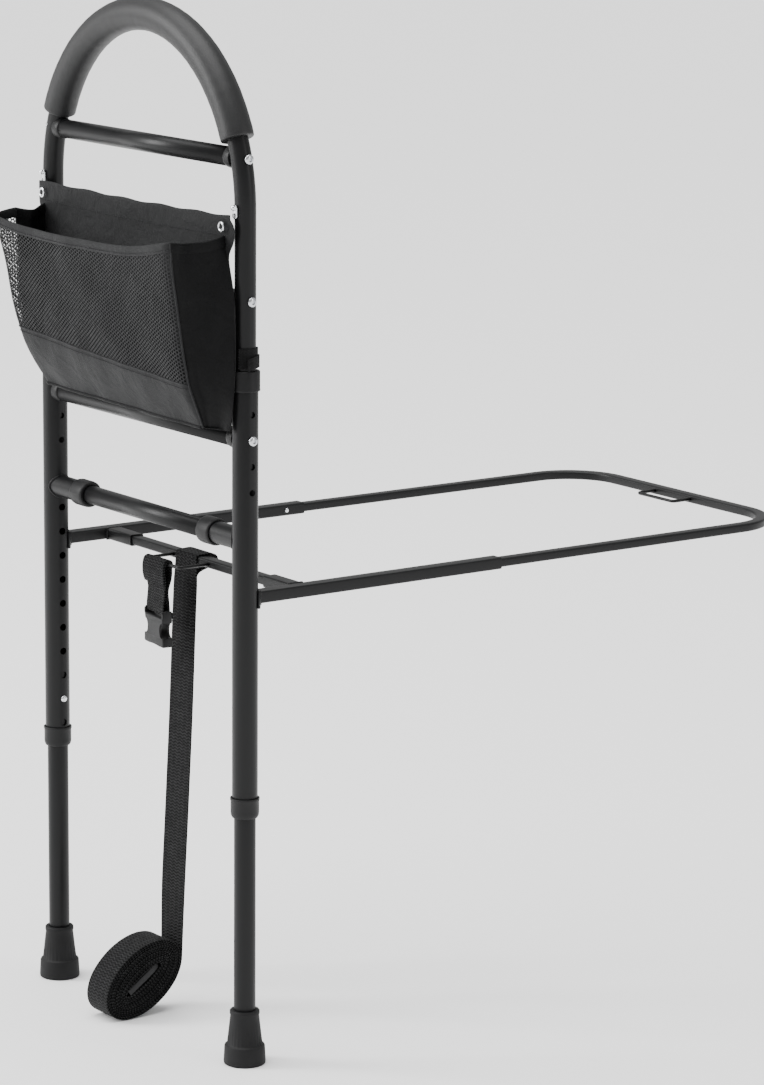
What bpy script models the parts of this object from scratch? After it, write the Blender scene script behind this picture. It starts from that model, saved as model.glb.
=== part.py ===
"""Bed assist rail: two telescopic uprights joined by an arched handle, a bed frame that lies under
the mattress, a webbing strap with a side-release buckle, and a hanging pouch.

Metres, +Z up. Every size below is measured from the floor frame: Z from the floor, X from the middle
of the rail to its right side, and +Y from the uprights under the bed. The part's own origin is the
middle of the cross tube's underside, where the rail rests on the bed base.
"""

import math

import bmesh
import bpy
from mathutils import Matrix, Vector

# Uprights and legs
GAP = 0.0003  # between pieces that touch
HALF_WIDTH = 0.175  # middle of the rail to an upright's axis
UPRIGHT_RADIUS = 0.0127
UPRIGHT_BORE = 0.0115
UPRIGHT_BOTTOM = 0.262
UPRIGHT_TOP = 0.685
TUBE_RADIUS = 0.01075  # handle and lower legs, which slide in the uprights
TUBE_BORE = 0.00955
HOLE_PITCH = 0.0254
LEG_HOLE_BASE = 0.303  # the hole that the leg's button stands in
LEG_HOLES_BELOW = 1
LEG_HOLES_ABOVE = 8
LEG_BOTTOM = 0.008
LEG_TOP = 0.350
COLLAR_RADIUS = 0.0146
COLLAR_HEIGHT = 0.020
TIP_HEIGHT = 0.055

# Handle
ARCH_CENTRE = 0.8485
HANDLE_BOTTOM = 0.590
FOAM_RADIUS = 0.0165
FOAM_WALL = 0.0050
ARCH_STEPS = 24
FOAM_BARE_STEPS = 3
BAR_RADIUS = 0.0095
BAR_WALL = 0.0011
TOP_BAR_Z = 0.898
MIDDLE_BAR_Z = 0.762
LOWER_BAR_Z = 0.6275
SADDLE_RADIUS = 0.0107
SADDLE_LENGTH = 0.0065
BOLT_HOLE = 0.0029
BOLT_HEAD_RADIUS = 0.0048

# Telescopic bar between the uprights
SPREADER_Z = 0.5284
STUB_RADIUS = 0.0111
STUB_END = 0.109

# Bed frame
BED_Z = 0.4713
RAIL_WIDTH = 0.016
RAIL_HEIGHT = 0.012
LOOP_WIDTH = 0.013
LOOP_HEIGHT = 0.009
RAIL_WALL = 0.0012
LOOP_WALL = 0.0010
SECTION_CORNER = 0.0016
RAIL_END = 0.307
LOOP_START = 0.258
LOOP_END = 0.693
LOOP_CORNER = 0.062
LOOP_BUTTON_Y = 0.284
CROSS_Y = 0.065
CROSS_STUB_END = 0.122
CROSS_TUBE_END = 0.150
CROSS_RELIEF = 0.0002
CROSS_RELIEF_GAP = 0.001
BRACKET_THICKNESS = 0.0022

# Strap, rings and buckles
WIRE_RADIUS = 0.00175
RING_LEFT = -0.0415
RING_RIGHT = 0.022
RING_FRONT = 0.024
END_RING_MIDDLE = -0.006
WEBBING_WIDTH = 0.038
WEBBING_THICKNESS = 0.0017
STRAP_X = -0.010
ROLL_X = -0.023
ROLL_Y = -0.0035
ROLL_MAJOR = 0.052
ROLL_MINOR = 0.033
ROLL_TILT = 35.0
BUCKLE_TOP = 0.424
BUCKLE_HEIGHT = 0.038
BUCKLE_WIDTH = 0.043
BUCKLE_DEPTH = 0.0115
STRAP_BAR_DEPTH = 0.0040
STRAP_BAR_HEIGHT = 0.0034
BUCKLE_X = -0.0175
BUCKLE_TWIST = -7.0  # degrees, about the hanging strap

# Pouch
POUCH_BACK = -0.0185
POUCH_WALL = 0.0016
POUCH_SECTIONS = (  # height, front face's Y, half width
    (0.629, -0.0240, 0.146),
    (0.645, -0.0340, 0.154),
    (0.665, -0.0455, 0.158),
    (0.694, -0.0590, 0.161),
    (0.730, -0.0690, 0.163),
    (0.770, -0.0755, 0.164),
    (0.812, -0.0790, 0.164),
)
HEM_TOP = 0.8450
HEM_HALF_WIDTH = 0.174
HANGER_Z = 0.848
TIE_BOTTOM = 0.6975
TIE_WIDTH = 0.0135

FINISHES = {  # colour, roughness, metallic
    "powder_coat": ((0.022, 0.022, 0.023), 0.42, 0.0),
    "plastic": ((0.020, 0.020, 0.021), 0.50, 0.0),
    "rubber": ((0.025, 0.025, 0.026), 0.70, 0.0),
    "foam": ((0.030, 0.030, 0.031), 0.85, 0.0),
    "chrome": ((0.80, 0.80, 0.82), 0.12, 1.0),
    "spring_steel": ((0.45, 0.45, 0.47), 0.30, 1.0),
    "webbing": ((0.018, 0.018, 0.019), 0.90, 0.0),
    "nylon": ((0.020, 0.020, 0.021), 0.75, 0.0),
}
SIDES = {"left": -1, "right": 1}


# Helpers ------------------------------------------------------------------------------------------


def clear_scene():
    for obj in list(bpy.data.objects):
        bpy.data.objects.remove(obj, do_unlink=True)


def new_collection(name):
    collection = bpy.data.collections.new(name)
    bpy.context.scene.collection.children.link(collection)
    return collection


def paint(piece, finish):
    """The piece's own Principled material."""
    colour, roughness, metallic = FINISHES[finish]
    material = bpy.data.materials.new(f"{piece.name}_{finish}")
    material.use_nodes = True
    shader = material.node_tree.nodes["Principled BSDF"]
    shader.inputs["Base Color"].default_value = (*colour, 1.0)
    shader.inputs["Roughness"].default_value = roughness
    shader.inputs["Metallic"].default_value = metallic
    piece.data.materials.append(material)


def add_piece(name, mesh, finish, location=(0, 0, 0), rotation=(0, 0, 0)):
    """A named sub-part, placed in the floor frame."""
    piece = bpy.data.objects.new(name, mesh)
    parts.objects.link(piece)
    piece.parent = floor_frame
    piece.location = location
    piece.rotation_euler = [math.radians(angle) for angle in rotation]
    if mesh.polygons:
        mesh.shade_smooth()
        mesh.set_sharp_from_angle(angle=math.radians(35))
    paint(piece, finish)
    return piece


def add_cutter(name, mesh):
    """A shape that is only taken away from others."""
    cutter = bpy.data.objects.new(name, mesh)
    cutters.objects.link(cutter)
    cutter.parent = floor_frame
    cutter.hide_render = True
    cutter.display_type = "WIRE"
    return cutter


def cut(piece, *tools):
    for tool in tools:
        boolean = piece.modifiers.new(f"less {tool.name}", "BOOLEAN")
        boolean.operation = "DIFFERENCE"
        boolean.object = tool


def arc(centre, radius, start, end, steps):
    """Points on a circle in a plane, from one angle to another in degrees."""
    angles = [math.radians(start + (end - start) * i / steps) for i in range(steps + 1)]
    return [(centre[0] + radius * math.cos(a), centre[1] + radius * math.sin(a)) for a in angles]


def mesh_from(name, build):
    """A mesh from a function that fills a bmesh."""
    bm = bmesh.new()
    build(bm)
    mesh = bpy.data.meshes.new(name)
    bm.to_mesh(mesh)
    bm.free()
    return mesh


def cylinders(name, bars, segments=16):
    """Separate cylinders in one mesh, each from one point to another."""

    def build(bm):
        for start, end, radius in bars:
            along = Vector(end) - Vector(start)
            turn = along.to_track_quat("Z", "Y").to_matrix().to_4x4()
            place = Matrix.Translation((Vector(start) + Vector(end)) / 2) @ turn
            bmesh.ops.create_cone(
                bm,
                cap_ends=True,
                segments=segments,
                radius1=radius,
                radius2=radius,
                depth=along.length,
                matrix=place,
            )

    return mesh_from(name, build)


def boxes(name, blocks):
    """Separate blocks in one mesh, each from its lowest corner to its highest."""

    def build(bm):
        for low, high in blocks:
            low, high = Vector(low), Vector(high)
            place = Matrix.Translation((low + high) / 2) @ Matrix.Diagonal((*(high - low), 1.0))
            bmesh.ops.create_cube(bm, size=1.0, matrix=place)

    return mesh_from(name, build)


def turned(name, finish, profile, location, rotation=(0, 0, 0), closed=True, steps=20):
    """A profile of (radius, height), run top to bottom down its outer side, turned about local Z."""
    count = len(profile)
    edges = [(i, (i + 1) % count) for i in range(count if closed else count - 1)]
    mesh = bpy.data.meshes.new(name)
    mesh.from_pydata([(radius, 0.0, height) for radius, height in profile], edges, [])
    piece = add_piece(name, mesh, finish, location, rotation)
    screw = piece.modifiers.new("turn", "SCREW")
    screw.steps = steps
    screw.render_steps = steps
    screw.use_merge_vertices = True
    screw.merge_threshold = 0.00001
    screw.use_smooth_shade = True
    return piece


def section(name, width, height, radius):
    """A rounded rectangle that rectangular tubes are drawn from."""
    corners = []
    for index, (x, y) in enumerate(((1, 1), (-1, 1), (-1, -1), (1, -1))):
        centre = (x * (width / 2 - radius), y * (height / 2 - radius))
        corners += arc(centre, radius, 90 * index, 90 * index + 90, 1)
    return guide_curve(name, [(x, y, 0.0) for x, y in corners], cyclic=True, dimensions="2D")


def guide_curve(name, points, cyclic=False, dimensions="3D"):
    curve = bpy.data.curves.new(name, "CURVE")
    curve.dimensions = dimensions
    spline = curve.splines.new("POLY")
    spline.points.add(len(points) - 1)
    for point, place in zip(spline.points, points):
        point.co = (*place, 1.0)
    spline.use_cyclic_u = cyclic
    guide = bpy.data.objects.new(name, curve)
    cutters.objects.link(guide)
    guide.hide_render = True
    return guide


def swept(name, points, radius=0.0, profile=None, sides=16, hollow=False):
    """The mesh of a round or rectangular section drawn along a path; hollow ones have open ends."""
    guide = guide_curve(name, points)
    curve = guide.data
    curve.use_fill_caps = not hollow
    if profile:
        curve.twist_mode = "Z_UP"
        curve.bevel_mode = "OBJECT"
        curve.bevel_object = profile
    else:
        curve.bevel_depth = radius
        curve.bevel_resolution = sides // 2 - 2
    bpy.context.view_layer.update()
    evaluated = guide.evaluated_get(bpy.context.evaluated_depsgraph_get())
    mesh = bpy.data.meshes.new_from_object(evaluated)
    mesh.name = name
    bpy.data.objects.remove(guide, do_unlink=True)
    bm = bmesh.new()
    bm.from_mesh(mesh)
    bmesh.ops.remove_doubles(bm, verts=bm.verts, dist=0.000001)
    bmesh.ops.recalc_face_normals(bm, faces=bm.faces)
    bm.to_mesh(mesh)
    bm.free()
    return mesh


def thicken(piece, thickness, offset=-1.0):
    solidify = piece.modifiers.new("wall", "SOLIDIFY")
    solidify.thickness = thickness
    solidify.offset = offset
    solidify.use_even_offset = True


def ribbon(name, finish, path, width, thickness, across=(1, 0, 0), closed=False, location=(0, 0, 0)):
    """A strip of constant width along a path, thickened to both sides."""
    half = Vector(across) * width / 2
    points = [Vector(place) + side * half for place in path for side in (-1, 1)]
    count = len(path)
    faces = []
    for i in range(count if closed else count - 1):
        after = (i + 1) % count
        faces.append((2 * i, 2 * i + 1, 2 * after + 1, 2 * after))
    mesh = bpy.data.meshes.new(name)
    mesh.from_pydata(points, [], faces)
    piece = add_piece(name, mesh, finish, location)
    thicken(piece, thickness, offset=0.0)
    return piece


def twist(mesh, x, top, bottom, angle):
    """Turns a hanging piece about a vertical line, from nothing at its top to an angle in degrees."""
    for vertex in mesh.vertices:
        share = min(max((top - vertex.co.z) / (top - bottom), 0.0), 1.0)
        turn = Matrix.Rotation(math.radians(angle * share), 3, "Z")
        vertex.co = turn @ (vertex.co - Vector((x, 0, 0))) + Vector((x, 0, 0))


# Uprights, collars, legs and tips -----------------------------------------------------------------


def upright(side_name, side):
    """The outer tube, with through holes for the handle bolts and a row of leg holes inside."""
    profile = [
        (UPRIGHT_RADIUS, UPRIGHT_TOP),
        (UPRIGHT_RADIUS, UPRIGHT_BOTTOM),
        (UPRIGHT_BORE, UPRIGHT_BOTTOM),
        (UPRIGHT_BORE, UPRIGHT_TOP),
    ]
    piece = turned(f"{side_name}_upright_tube", "powder_coat", profile, (side * HALF_WIDTH, 0, 0), steps=24)
    inner, middle, outer = (side * (HALF_WIDTH + d) for d in (-0.02, 0, 0.02))
    holes = []
    for step in (1, 0, -1, -2):
        z = LOWER_BAR_Z + step * HOLE_PITCH
        holes.append(((inner, 0, z), (outer, 0, z), BOLT_HOLE + GAP))
    for step in range(-LEG_HOLES_BELOW, LEG_HOLES_ABOVE + 1):
        z = LEG_HOLE_BASE + step * HOLE_PITCH
        holes.append(((inner, 0, z), (middle, 0, z), 0.0037))
    cut(piece, add_cutter(f"{side_name}_upright_holes", cylinders(f"{side_name}_holes", holes, 10)))


def lower_collar(side_name, side):
    """Plastic collar on the upright's lower end, which guides the leg."""
    top = UPRIGHT_BOTTOM + COLLAR_HEIGHT / 2
    bottom = UPRIGHT_BOTTOM - COLLAR_HEIGHT / 2
    slide, grip = TUBE_RADIUS + GAP, UPRIGHT_RADIUS + GAP
    profile = [
        (COLLAR_RADIUS, top),
        (COLLAR_RADIUS, top - 0.002),
        (COLLAR_RADIUS - 0.0004, top - 0.0026),
        (COLLAR_RADIUS - 0.0004, bottom + 0.004),
        (COLLAR_RADIUS - 0.0018, bottom),
        (slide, bottom),
        (slide, UPRIGHT_BOTTOM - GAP),
        (grip, UPRIGHT_BOTTOM - GAP),
        (grip, top),
    ]
    turned(f"{side_name}_lower_collar", "plastic", profile, (side * HALF_WIDTH, 0, 0))


def upper_collar(side_name, side):
    """Plastic collar on the upright's upper end, which guides the handle."""
    top = UPRIGHT_TOP + COLLAR_HEIGHT / 2
    bottom = UPRIGHT_TOP - COLLAR_HEIGHT / 2
    slide, grip = TUBE_RADIUS + GAP, UPRIGHT_RADIUS + GAP
    profile = [
        (COLLAR_RADIUS - 0.0008, top),
        (COLLAR_RADIUS, top - 0.001),
        (COLLAR_RADIUS, bottom + 0.001),
        (COLLAR_RADIUS - 0.0006, bottom),
        (grip, bottom),
        (grip, UPRIGHT_TOP + GAP),
        (slide, UPRIGHT_TOP + GAP),
        (slide, top),
    ]
    turned(f"{side_name}_upper_collar", "plastic", profile, (side * HALF_WIDTH, 0, 0))


def lower_leg(side_name, side):
    """The leg that slides in the upright, with a hole for its snap button."""
    profile = [
        (TUBE_RADIUS, LEG_TOP),
        (TUBE_RADIUS, LEG_BOTTOM),
        (TUBE_BORE, LEG_BOTTOM),
        (TUBE_BORE, LEG_TOP),
    ]
    piece = turned(f"{side_name}_lower_leg", "powder_coat", profile, (side * HALF_WIDTH, 0, 0))
    hole = ((side * (HALF_WIDTH - 0.02), 0, LEG_HOLE_BASE), (side * HALF_WIDTH, 0, LEG_HOLE_BASE), 0.0037)
    cut(piece, add_cutter(f"{side_name}_leg_hole", cylinders(f"{side_name}_leg_hole", [hole], 10)))


def rubber_tip(side_name, side):
    """Blind rubber foot with a wide base, a step and a tapered socket."""
    bore = TUBE_RADIUS + GAP
    profile = [
        (0.0, LEG_BOTTOM - GAP),
        (bore, LEG_BOTTOM - GAP),
        (bore, TIP_HEIGHT),
        (0.0146, TIP_HEIGHT),
        (0.0148, TIP_HEIGHT - 0.0015),
        (0.0148, TIP_HEIGHT - 0.0040),
        (0.0143, TIP_HEIGHT - 0.0055),
        (0.0178, 0.0200),
        (0.0198, 0.0185),
        (0.0205, 0.0120),
        (0.0210, 0.0020),
        (0.0202, 0.0),
        (0.0, 0.0),
    ]
    turned(f"{side_name}_rubber_tip", "rubber", profile, (side * HALF_WIDTH, 0, 0), closed=False)


def snap_button(name, tube_x, place, reach, radius, base, side):
    """A domed push button that stands through a tube's inner wall."""
    dome = radius * 0.55
    profile = [(0.0, reach)]
    profile += [
        (radius * math.sin(math.radians(a)), reach - dome * (1 - math.cos(math.radians(a))))
        for a in (30, 60, 90)
    ]
    profile += [(radius, base + 0.0011), (radius * 1.35, base + 0.0011), (radius * 1.35, base), (0.0, base)]
    rotation = (0, -90 * side, 0)
    turned(name, "chrome", profile, (tube_x, *place), rotation, closed=False, steps=10)


def snap_spring(name, side, x, z):
    """The bent steel strip inside the leg that pushes its button out."""
    path = [
        (0.0058, 0.007),
        (0.0058, -0.006),
        (0.0022, -0.030),
        (-0.0022, -0.030),
        (-0.0076, 0.002),
        (-0.0080, 0.010),
    ]
    points = [(-side * across, 0, height) for across, height in path]
    ribbon(name, "spring_steel", points, 0.006, 0.0006, across=(0, 1, 0), location=(x, 0, z))


# Handle -------------------------------------------------------------------------------------------


def handle_path(bottom):
    arch = arc((0, ARCH_CENTRE), HALF_WIDTH, 0, 180, ARCH_STEPS)
    return [(HALF_WIDTH, 0, bottom)] + [(x, 0, z) for x, z in arch] + [(-HALF_WIDTH, 0, bottom)]


def handle_tube():
    """The arched tube, drilled for the three cross bars' bolts."""
    mesh = swept("handle_tube", handle_path(HANDLE_BOTTOM), TUBE_RADIUS, sides=14, hollow=True)
    piece = add_piece("handle_tube", mesh, "powder_coat")
    thicken(piece, TUBE_RADIUS - TUBE_BORE)
    reach = HALF_WIDTH + 0.02
    holes = [((-reach, 0, z), (reach, 0, z), BOLT_HOLE) for z in (TOP_BAR_Z, MIDDLE_BAR_Z, LOWER_BAR_Z)]
    cut(piece, add_cutter("handle_bolt_holes", cylinders("handle_bolt_holes", holes, 10)))


def foam_grip():
    """Foam sleeve over the arch."""
    bare = FOAM_BARE_STEPS  # arch steps left bare at each end, so that both polygons match
    arch = arc((0, ARCH_CENTRE), HALF_WIDTH, 0, 180, ARCH_STEPS)[bare : ARCH_STEPS + 1 - bare]
    path = [(x, 0, z) for x, z in arch]
    mesh = swept("foam_grip", path, FOAM_RADIUS, sides=14, hollow=True)
    thicken(add_piece("foam_grip", mesh, "foam"), FOAM_WALL)


def saddle(name, side, x, z, tube_radius, tool):
    """Plastic end of a cross bar: hollowed to the tube it bears on, with a plug in the bar."""
    face = -tube_radius + 0.0035
    shoulder = -tube_radius - SADDLE_LENGTH
    plug = BAR_RADIUS - BAR_WALL - GAP
    profile = [
        (SADDLE_RADIUS, face),
        (SADDLE_RADIUS, shoulder + 0.001),
        (SADDLE_RADIUS - 0.0007, shoulder),
        (plug, shoulder),
        (plug, shoulder - 0.010),
        (BOLT_HOLE, shoulder - 0.010),
        (BOLT_HOLE, face),
    ]
    piece = turned(name, "plastic", profile, (side * x, 0, z), (0, 90 * side, 0), steps=14)
    cut(piece, tool)


def cross_bar(name, z, x, tube_radius):
    """Plain tube between two saddles."""
    end = x - tube_radius - SADDLE_LENGTH - GAP
    mesh = swept(name, [(-end, 0, 0), (end, 0, 0)], BAR_RADIUS, sides=16, hollow=True)
    thicken(add_piece(name, mesh, "powder_coat", (0, 0, z)), BAR_WALL)


def bolt(name, side, x, z, seat, length):
    """Button-head bolt with a hex recess; its head bears on the tube's outer face."""
    head = [
        (0.0, seat + 0.0014),
        (0.0016, seat + 0.0014),
        (0.0016, seat + 0.0027),
        (0.0030, seat + 0.0025),
        (0.0042, seat + 0.0016),
        (BOLT_HEAD_RADIUS, seat),
    ]
    shank = [(0.0024, seat), (0.0024, seat - length), (0.0, seat - length)] if length else [(0.0, seat)]
    turned(name, "chrome", head + shank, (side * x, 0, z), (0, 90 * side, 0), closed=False, steps=10)


def handle_bars(handle_tool, upright_tool):
    """The three cross bars, each with two saddles and two bolts."""
    rise = TOP_BAR_Z - ARCH_CENTRE
    arch_x = math.sqrt(HALF_WIDTH**2 - rise**2)
    slant = TUBE_RADIUS * HALF_WIDTH / arch_x
    lift = BOLT_HEAD_RADIUS * rise / arch_x  # the head rests on the slanted tube by its edge
    through = 2 * TUBE_RADIUS + SADDLE_LENGTH
    rows = (
        ("top", TOP_BAR_Z, arch_x, slant, lift, handle_tool, through),
        ("middle", MIDDLE_BAR_Z, HALF_WIDTH, TUBE_RADIUS, 0.0, handle_tool, through),
        ("lower", LOWER_BAR_Z, HALF_WIDTH, UPRIGHT_RADIUS, 0.0, upright_tool, 0.0),
    )
    for name, z, x, radius, lift, tool, length in rows:
        cross_bar(f"{name}_cross_bar", z, x, radius)
        for side_name, side in SIDES.items():
            saddle(f"{name}_bar_{side_name}_saddle", side, x, z, radius, tool)
            bolt(f"{name}_bar_{side_name}_bolt", side, x, z, radius + lift + GAP, length)


# Telescopic spreader ------------------------------------------------------------------------------


def spreader(upright_tool):
    """Stubs welded to the uprights, an inner tube that joins them, and a collar on each stub."""
    for side_name, side in SIDES.items():
        path = [(side * STUB_END, 0, SPREADER_Z), (side * HALF_WIDTH, 0, SPREADER_Z)]
        stub = add_piece(
            f"{side_name}_spreader_stub",
            swept(f"{side_name}_spreader_stub", path, STUB_RADIUS, sides=16, hollow=True),
            "powder_coat",
        )
        thicken(stub, 0.0012)
        cut(stub, upright_tool)
        grip, slide = STUB_RADIUS + GAP, BAR_RADIUS + GAP
        profile = [
            (0.0126, 0.022),
            (0.0137, 0.0205),
            (0.0137, 0.003),
            (0.0127, 0.0),
            (slide, 0.0),
            (slide, 0.003 - GAP),
            (grip, 0.003 - GAP),
            (grip, 0.022),
        ]
        place = (side * (STUB_END - 0.003), 0, SPREADER_Z)
        turned(f"{side_name}_spreader_collar", "plastic", profile, place, (0, 90 * side, 0), steps=16)
    inner = swept("spreader_inner_tube", [(-0.150, 0, 0), (0.150, 0, 0)], BAR_RADIUS, sides=16, hollow=True)
    thicken(add_piece("spreader_inner_tube", inner, "powder_coat", (0, 0, SPREADER_Z)), BAR_WALL)


# Bed frame ----------------------------------------------------------------------------------------


def bed_frame(rail_section, loop_section):
    """Side tubes and cross tube fixed to the uprights, and the loop that slides in the side tubes."""
    for side_name, side in SIDES.items():
        x = side * HALF_WIDTH
        path = [(x, 0, BED_Z), (x, RAIL_END, BED_Z)]
        mesh = swept(f"{side_name}_bed_tube", path, profile=rail_section, hollow=True)
        rail = add_piece(f"{side_name}_bed_tube", mesh, "powder_coat")
        thicken(rail, RAIL_WALL)
        reach = UPRIGHT_RADIUS + GAP + BRACKET_THICKNESS + GAP
        button = ((side * (HALF_WIDTH - 0.012), LOOP_BUTTON_Y, BED_Z), (x, LOOP_BUTTON_Y, BED_Z), 0.0027)
        shapes = [((x, 0, BED_Z - 0.02), (x, 0, BED_Z + 0.02), reach), button]
        cuts = cylinders(f"{side_name}_bed_tube_cuts", shapes, 32)
        cut(rail, add_cutter(f"{side_name}_bed_tube_cuts", cuts))
        weld_bracket(side_name, x)
        start, end = side * CROSS_STUB_END, side * (HALF_WIDTH - RAIL_WIDTH / 2 - GAP)
        path = [(start, CROSS_Y, BED_Z), (end, CROSS_Y, BED_Z)]
        stub = add_piece(
            f"{side_name}_cross_stub",
            swept(f"{side_name}_cross_stub", path, profile=rail_section, hollow=True),
            "powder_coat",
        )
        thicken(stub, RAIL_WALL)
        snap_button(f"{side_name}_loop_button", x, (LOOP_BUTTON_Y, BED_Z), 0.0095, 0.0023, 0.0028, side)
    path = [(-CROSS_TUBE_END, CROSS_Y, BED_Z), (CROSS_TUBE_END, CROSS_Y, BED_Z)]
    mesh = swept("cross_inner_tube", path, profile=loop_section, hollow=True)
    inner = add_piece("cross_inner_tube", mesh, "powder_coat")
    thicken(inner, LOOP_WALL)
    # the ends in the stubs are relieved underneath, so the free length rests flat
    underside = BED_Z - LOOP_HEIGHT / 2
    reliefs = []
    for side in SIDES.values():
        ends = sorted((side * (CROSS_STUB_END - CROSS_RELIEF_GAP), side * (CROSS_TUBE_END + 0.002)))
        low = (ends[0], CROSS_Y - LOOP_WIDTH, underside - 0.002)
        high = (ends[1], CROSS_Y + LOOP_WIDTH, underside + CROSS_RELIEF)
        reliefs.append((low, high))
    cut(inner, add_cutter("cross_reliefs", boxes("cross_reliefs", reliefs)))
    bed_loop(loop_section)


def weld_bracket(side_name, x):
    """Curved plate on the upright that the side tube is welded to."""
    radius = UPRIGHT_RADIUS + GAP + BRACKET_THICKNESS / 2
    path = [(px, py, 0) for px, py in arc((0, 0), radius, 40, 140, 8)]
    ribbon(
        f"{side_name}_weld_bracket",
        "powder_coat",
        path,
        RAIL_HEIGHT + 0.006,
        BRACKET_THICKNESS,
        across=(0, 0, 1),
        location=(x, 0, BED_Z - 0.001),
    )


def bed_loop(loop_section):
    """One bent tube: down one side tube, across the far end and back."""
    near, far = HALF_WIDTH - LOOP_CORNER, LOOP_END - LOOP_CORNER
    path = [(HALF_WIDTH, LOOP_START)]
    path += arc((near, far), LOOP_CORNER, 0, 90, 6)
    path += arc((-near, far), LOOP_CORNER, 90, 180, 6)
    path += [(-HALF_WIDTH, LOOP_START)]
    mesh = swept("bed_loop_tube", [(x, y, BED_Z) for x, y in path], profile=loop_section, hollow=True)
    piece = add_piece("bed_loop_tube", mesh, "powder_coat")
    thicken(piece, LOOP_WALL)
    holes = []
    for side in SIDES.values():
        start = (side * (HALF_WIDTH - 0.012), LOOP_BUTTON_Y, BED_Z)
        holes.append((start, (side * HALF_WIDTH, LOOP_BUTTON_Y, BED_Z), 0.0027))
    cut(piece, add_cutter("loop_button_holes", cylinders("loop_button_holes", holes, 10)))


def wire_ring(name, left, right, back, front):
    """A bent wire staple, open where it is welded to its tube."""
    bend = 2 * WIRE_RADIUS
    path = [(left, back)] + arc((left + bend, front + bend), bend, 180, 270, 4)
    path += arc((right - bend, front + bend), bend, 270, 360, 4) + [(right, back)]
    points = [(x, y, BED_Z) for x, y in path]
    add_piece(name, swept(name, points, WIRE_RADIUS, sides=8), "powder_coat")


# Strap and buckles --------------------------------------------------------------------------------


def hanging_strap():
    """Webbing laid over the cross tube, then down to the roll on the floor."""
    layer = WEBBING_THICKNESS / 2 + GAP
    front = CROSS_Y - LOOP_WIDTH / 2 - layer
    under = BED_Z - LOOP_HEIGHT / 2 - layer
    inset_y, inset_z = LOOP_WIDTH / 2 - SECTION_CORNER, LOOP_HEIGHT / 2 - SECTION_CORNER
    bend = SECTION_CORNER + layer + GAP
    roll_top = 2 * roll_half_height() * 0.82
    path = [(CROSS_Y + inset_y + bend, BED_Z - inset_z)]
    path += arc((CROSS_Y + inset_y, BED_Z + inset_z), bend, 0, 90, 3)
    path += arc((CROSS_Y - inset_y, BED_Z + inset_z), bend, 90, 180, 3)
    path += [
        (front - GAP, under - 0.010),
        (front - 0.003, 0.40),
        (0.0500, 0.30),
        (0.0475, 0.20),
        (0.0450, 0.12),
        (0.0440, roll_top),
    ]
    points = [(STRAP_X - slant(z), y, z) for y, z in path]
    ribbon("hanging_strap", "webbing", points, WEBBING_WIDTH, WEBBING_THICKNESS)


def slant(z):
    """How far the hanging strap has moved sideways by the height of the roll."""
    return (STRAP_X - ROLL_X) * min(max((BED_Z - z) / BED_Z, 0.0), 1.0)


def roll_half_height():
    tilt = math.radians(ROLL_TILT)
    return math.hypot(ROLL_MAJOR * math.sin(tilt), ROLL_MINOR * math.cos(tilt))


def strap_roll():
    """The rolled-up rest of the strap, standing on the floor, with a slot at its heart."""
    disc = cylinders("strap_roll", [((-WEBBING_WIDTH / 2, 0, 0), (WEBBING_WIDTH / 2, 0, 0), 1.0)], 32)
    disc.transform(Matrix.Diagonal((1.0, ROLL_MAJOR, ROLL_MINOR, 1.0)))
    disc.transform(Matrix.Rotation(math.radians(ROLL_TILT), 4, "X"))
    centre = (ROLL_X, ROLL_Y, roll_half_height())
    piece = add_piece("strap_roll", disc, "webbing", centre)
    slot = boxes("roll_slot", [((-0.03, -0.026, -0.0045), (0.03, 0.026, 0.0045))])
    slot.transform(Matrix.Rotation(math.radians(ROLL_TILT), 4, "X"))
    slot.transform(Matrix.Translation(centre))
    cut(piece, add_cutter("roll_slot", slot))


def male_buckle():
    """The buckle's plug half, wound into the heart of the roll."""
    blocks = [((-0.0175, -0.0235, -0.0038), (0.0175, 0.0235, 0.0038))]
    mesh = boxes("male_buckle", blocks)
    mesh.transform(Matrix.Rotation(math.radians(ROLL_TILT), 4, "X"))
    piece = add_piece("male_buckle", mesh, "plastic", (ROLL_X + 0.0015, ROLL_Y, roll_half_height()))
    bevel = piece.modifiers.new("edges", "BEVEL")
    bevel.width = 0.0012
    bevel.segments = 1


def short_strap():
    """Webbing loop from the ring's front wire to the socket half of the buckle."""
    layer = WEBBING_THICKNESS / 2 + GAP
    top_radius = WIRE_RADIUS + layer
    bar_radius = math.hypot(STRAP_BAR_DEPTH, STRAP_BAR_HEIGHT) / 2 + layer
    drop = BUCKLE_TOP - STRAP_BAR_HEIGHT / 2 - BED_Z
    path = arc((0, 0), top_radius, 0, 180, 8) + arc((0, drop), bar_radius, 180, 360, 8)
    points = [(0, y, z) for y, z in path]
    place = (BUCKLE_X, RING_FRONT, BED_Z)
    piece = ribbon(
        "short_strap", "webbing", points, WEBBING_WIDTH, WEBBING_THICKNESS, closed=True, location=place
    )
    twist(piece.data, 0.0, -0.010, drop + 0.006, BUCKLE_TWIST)


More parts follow.
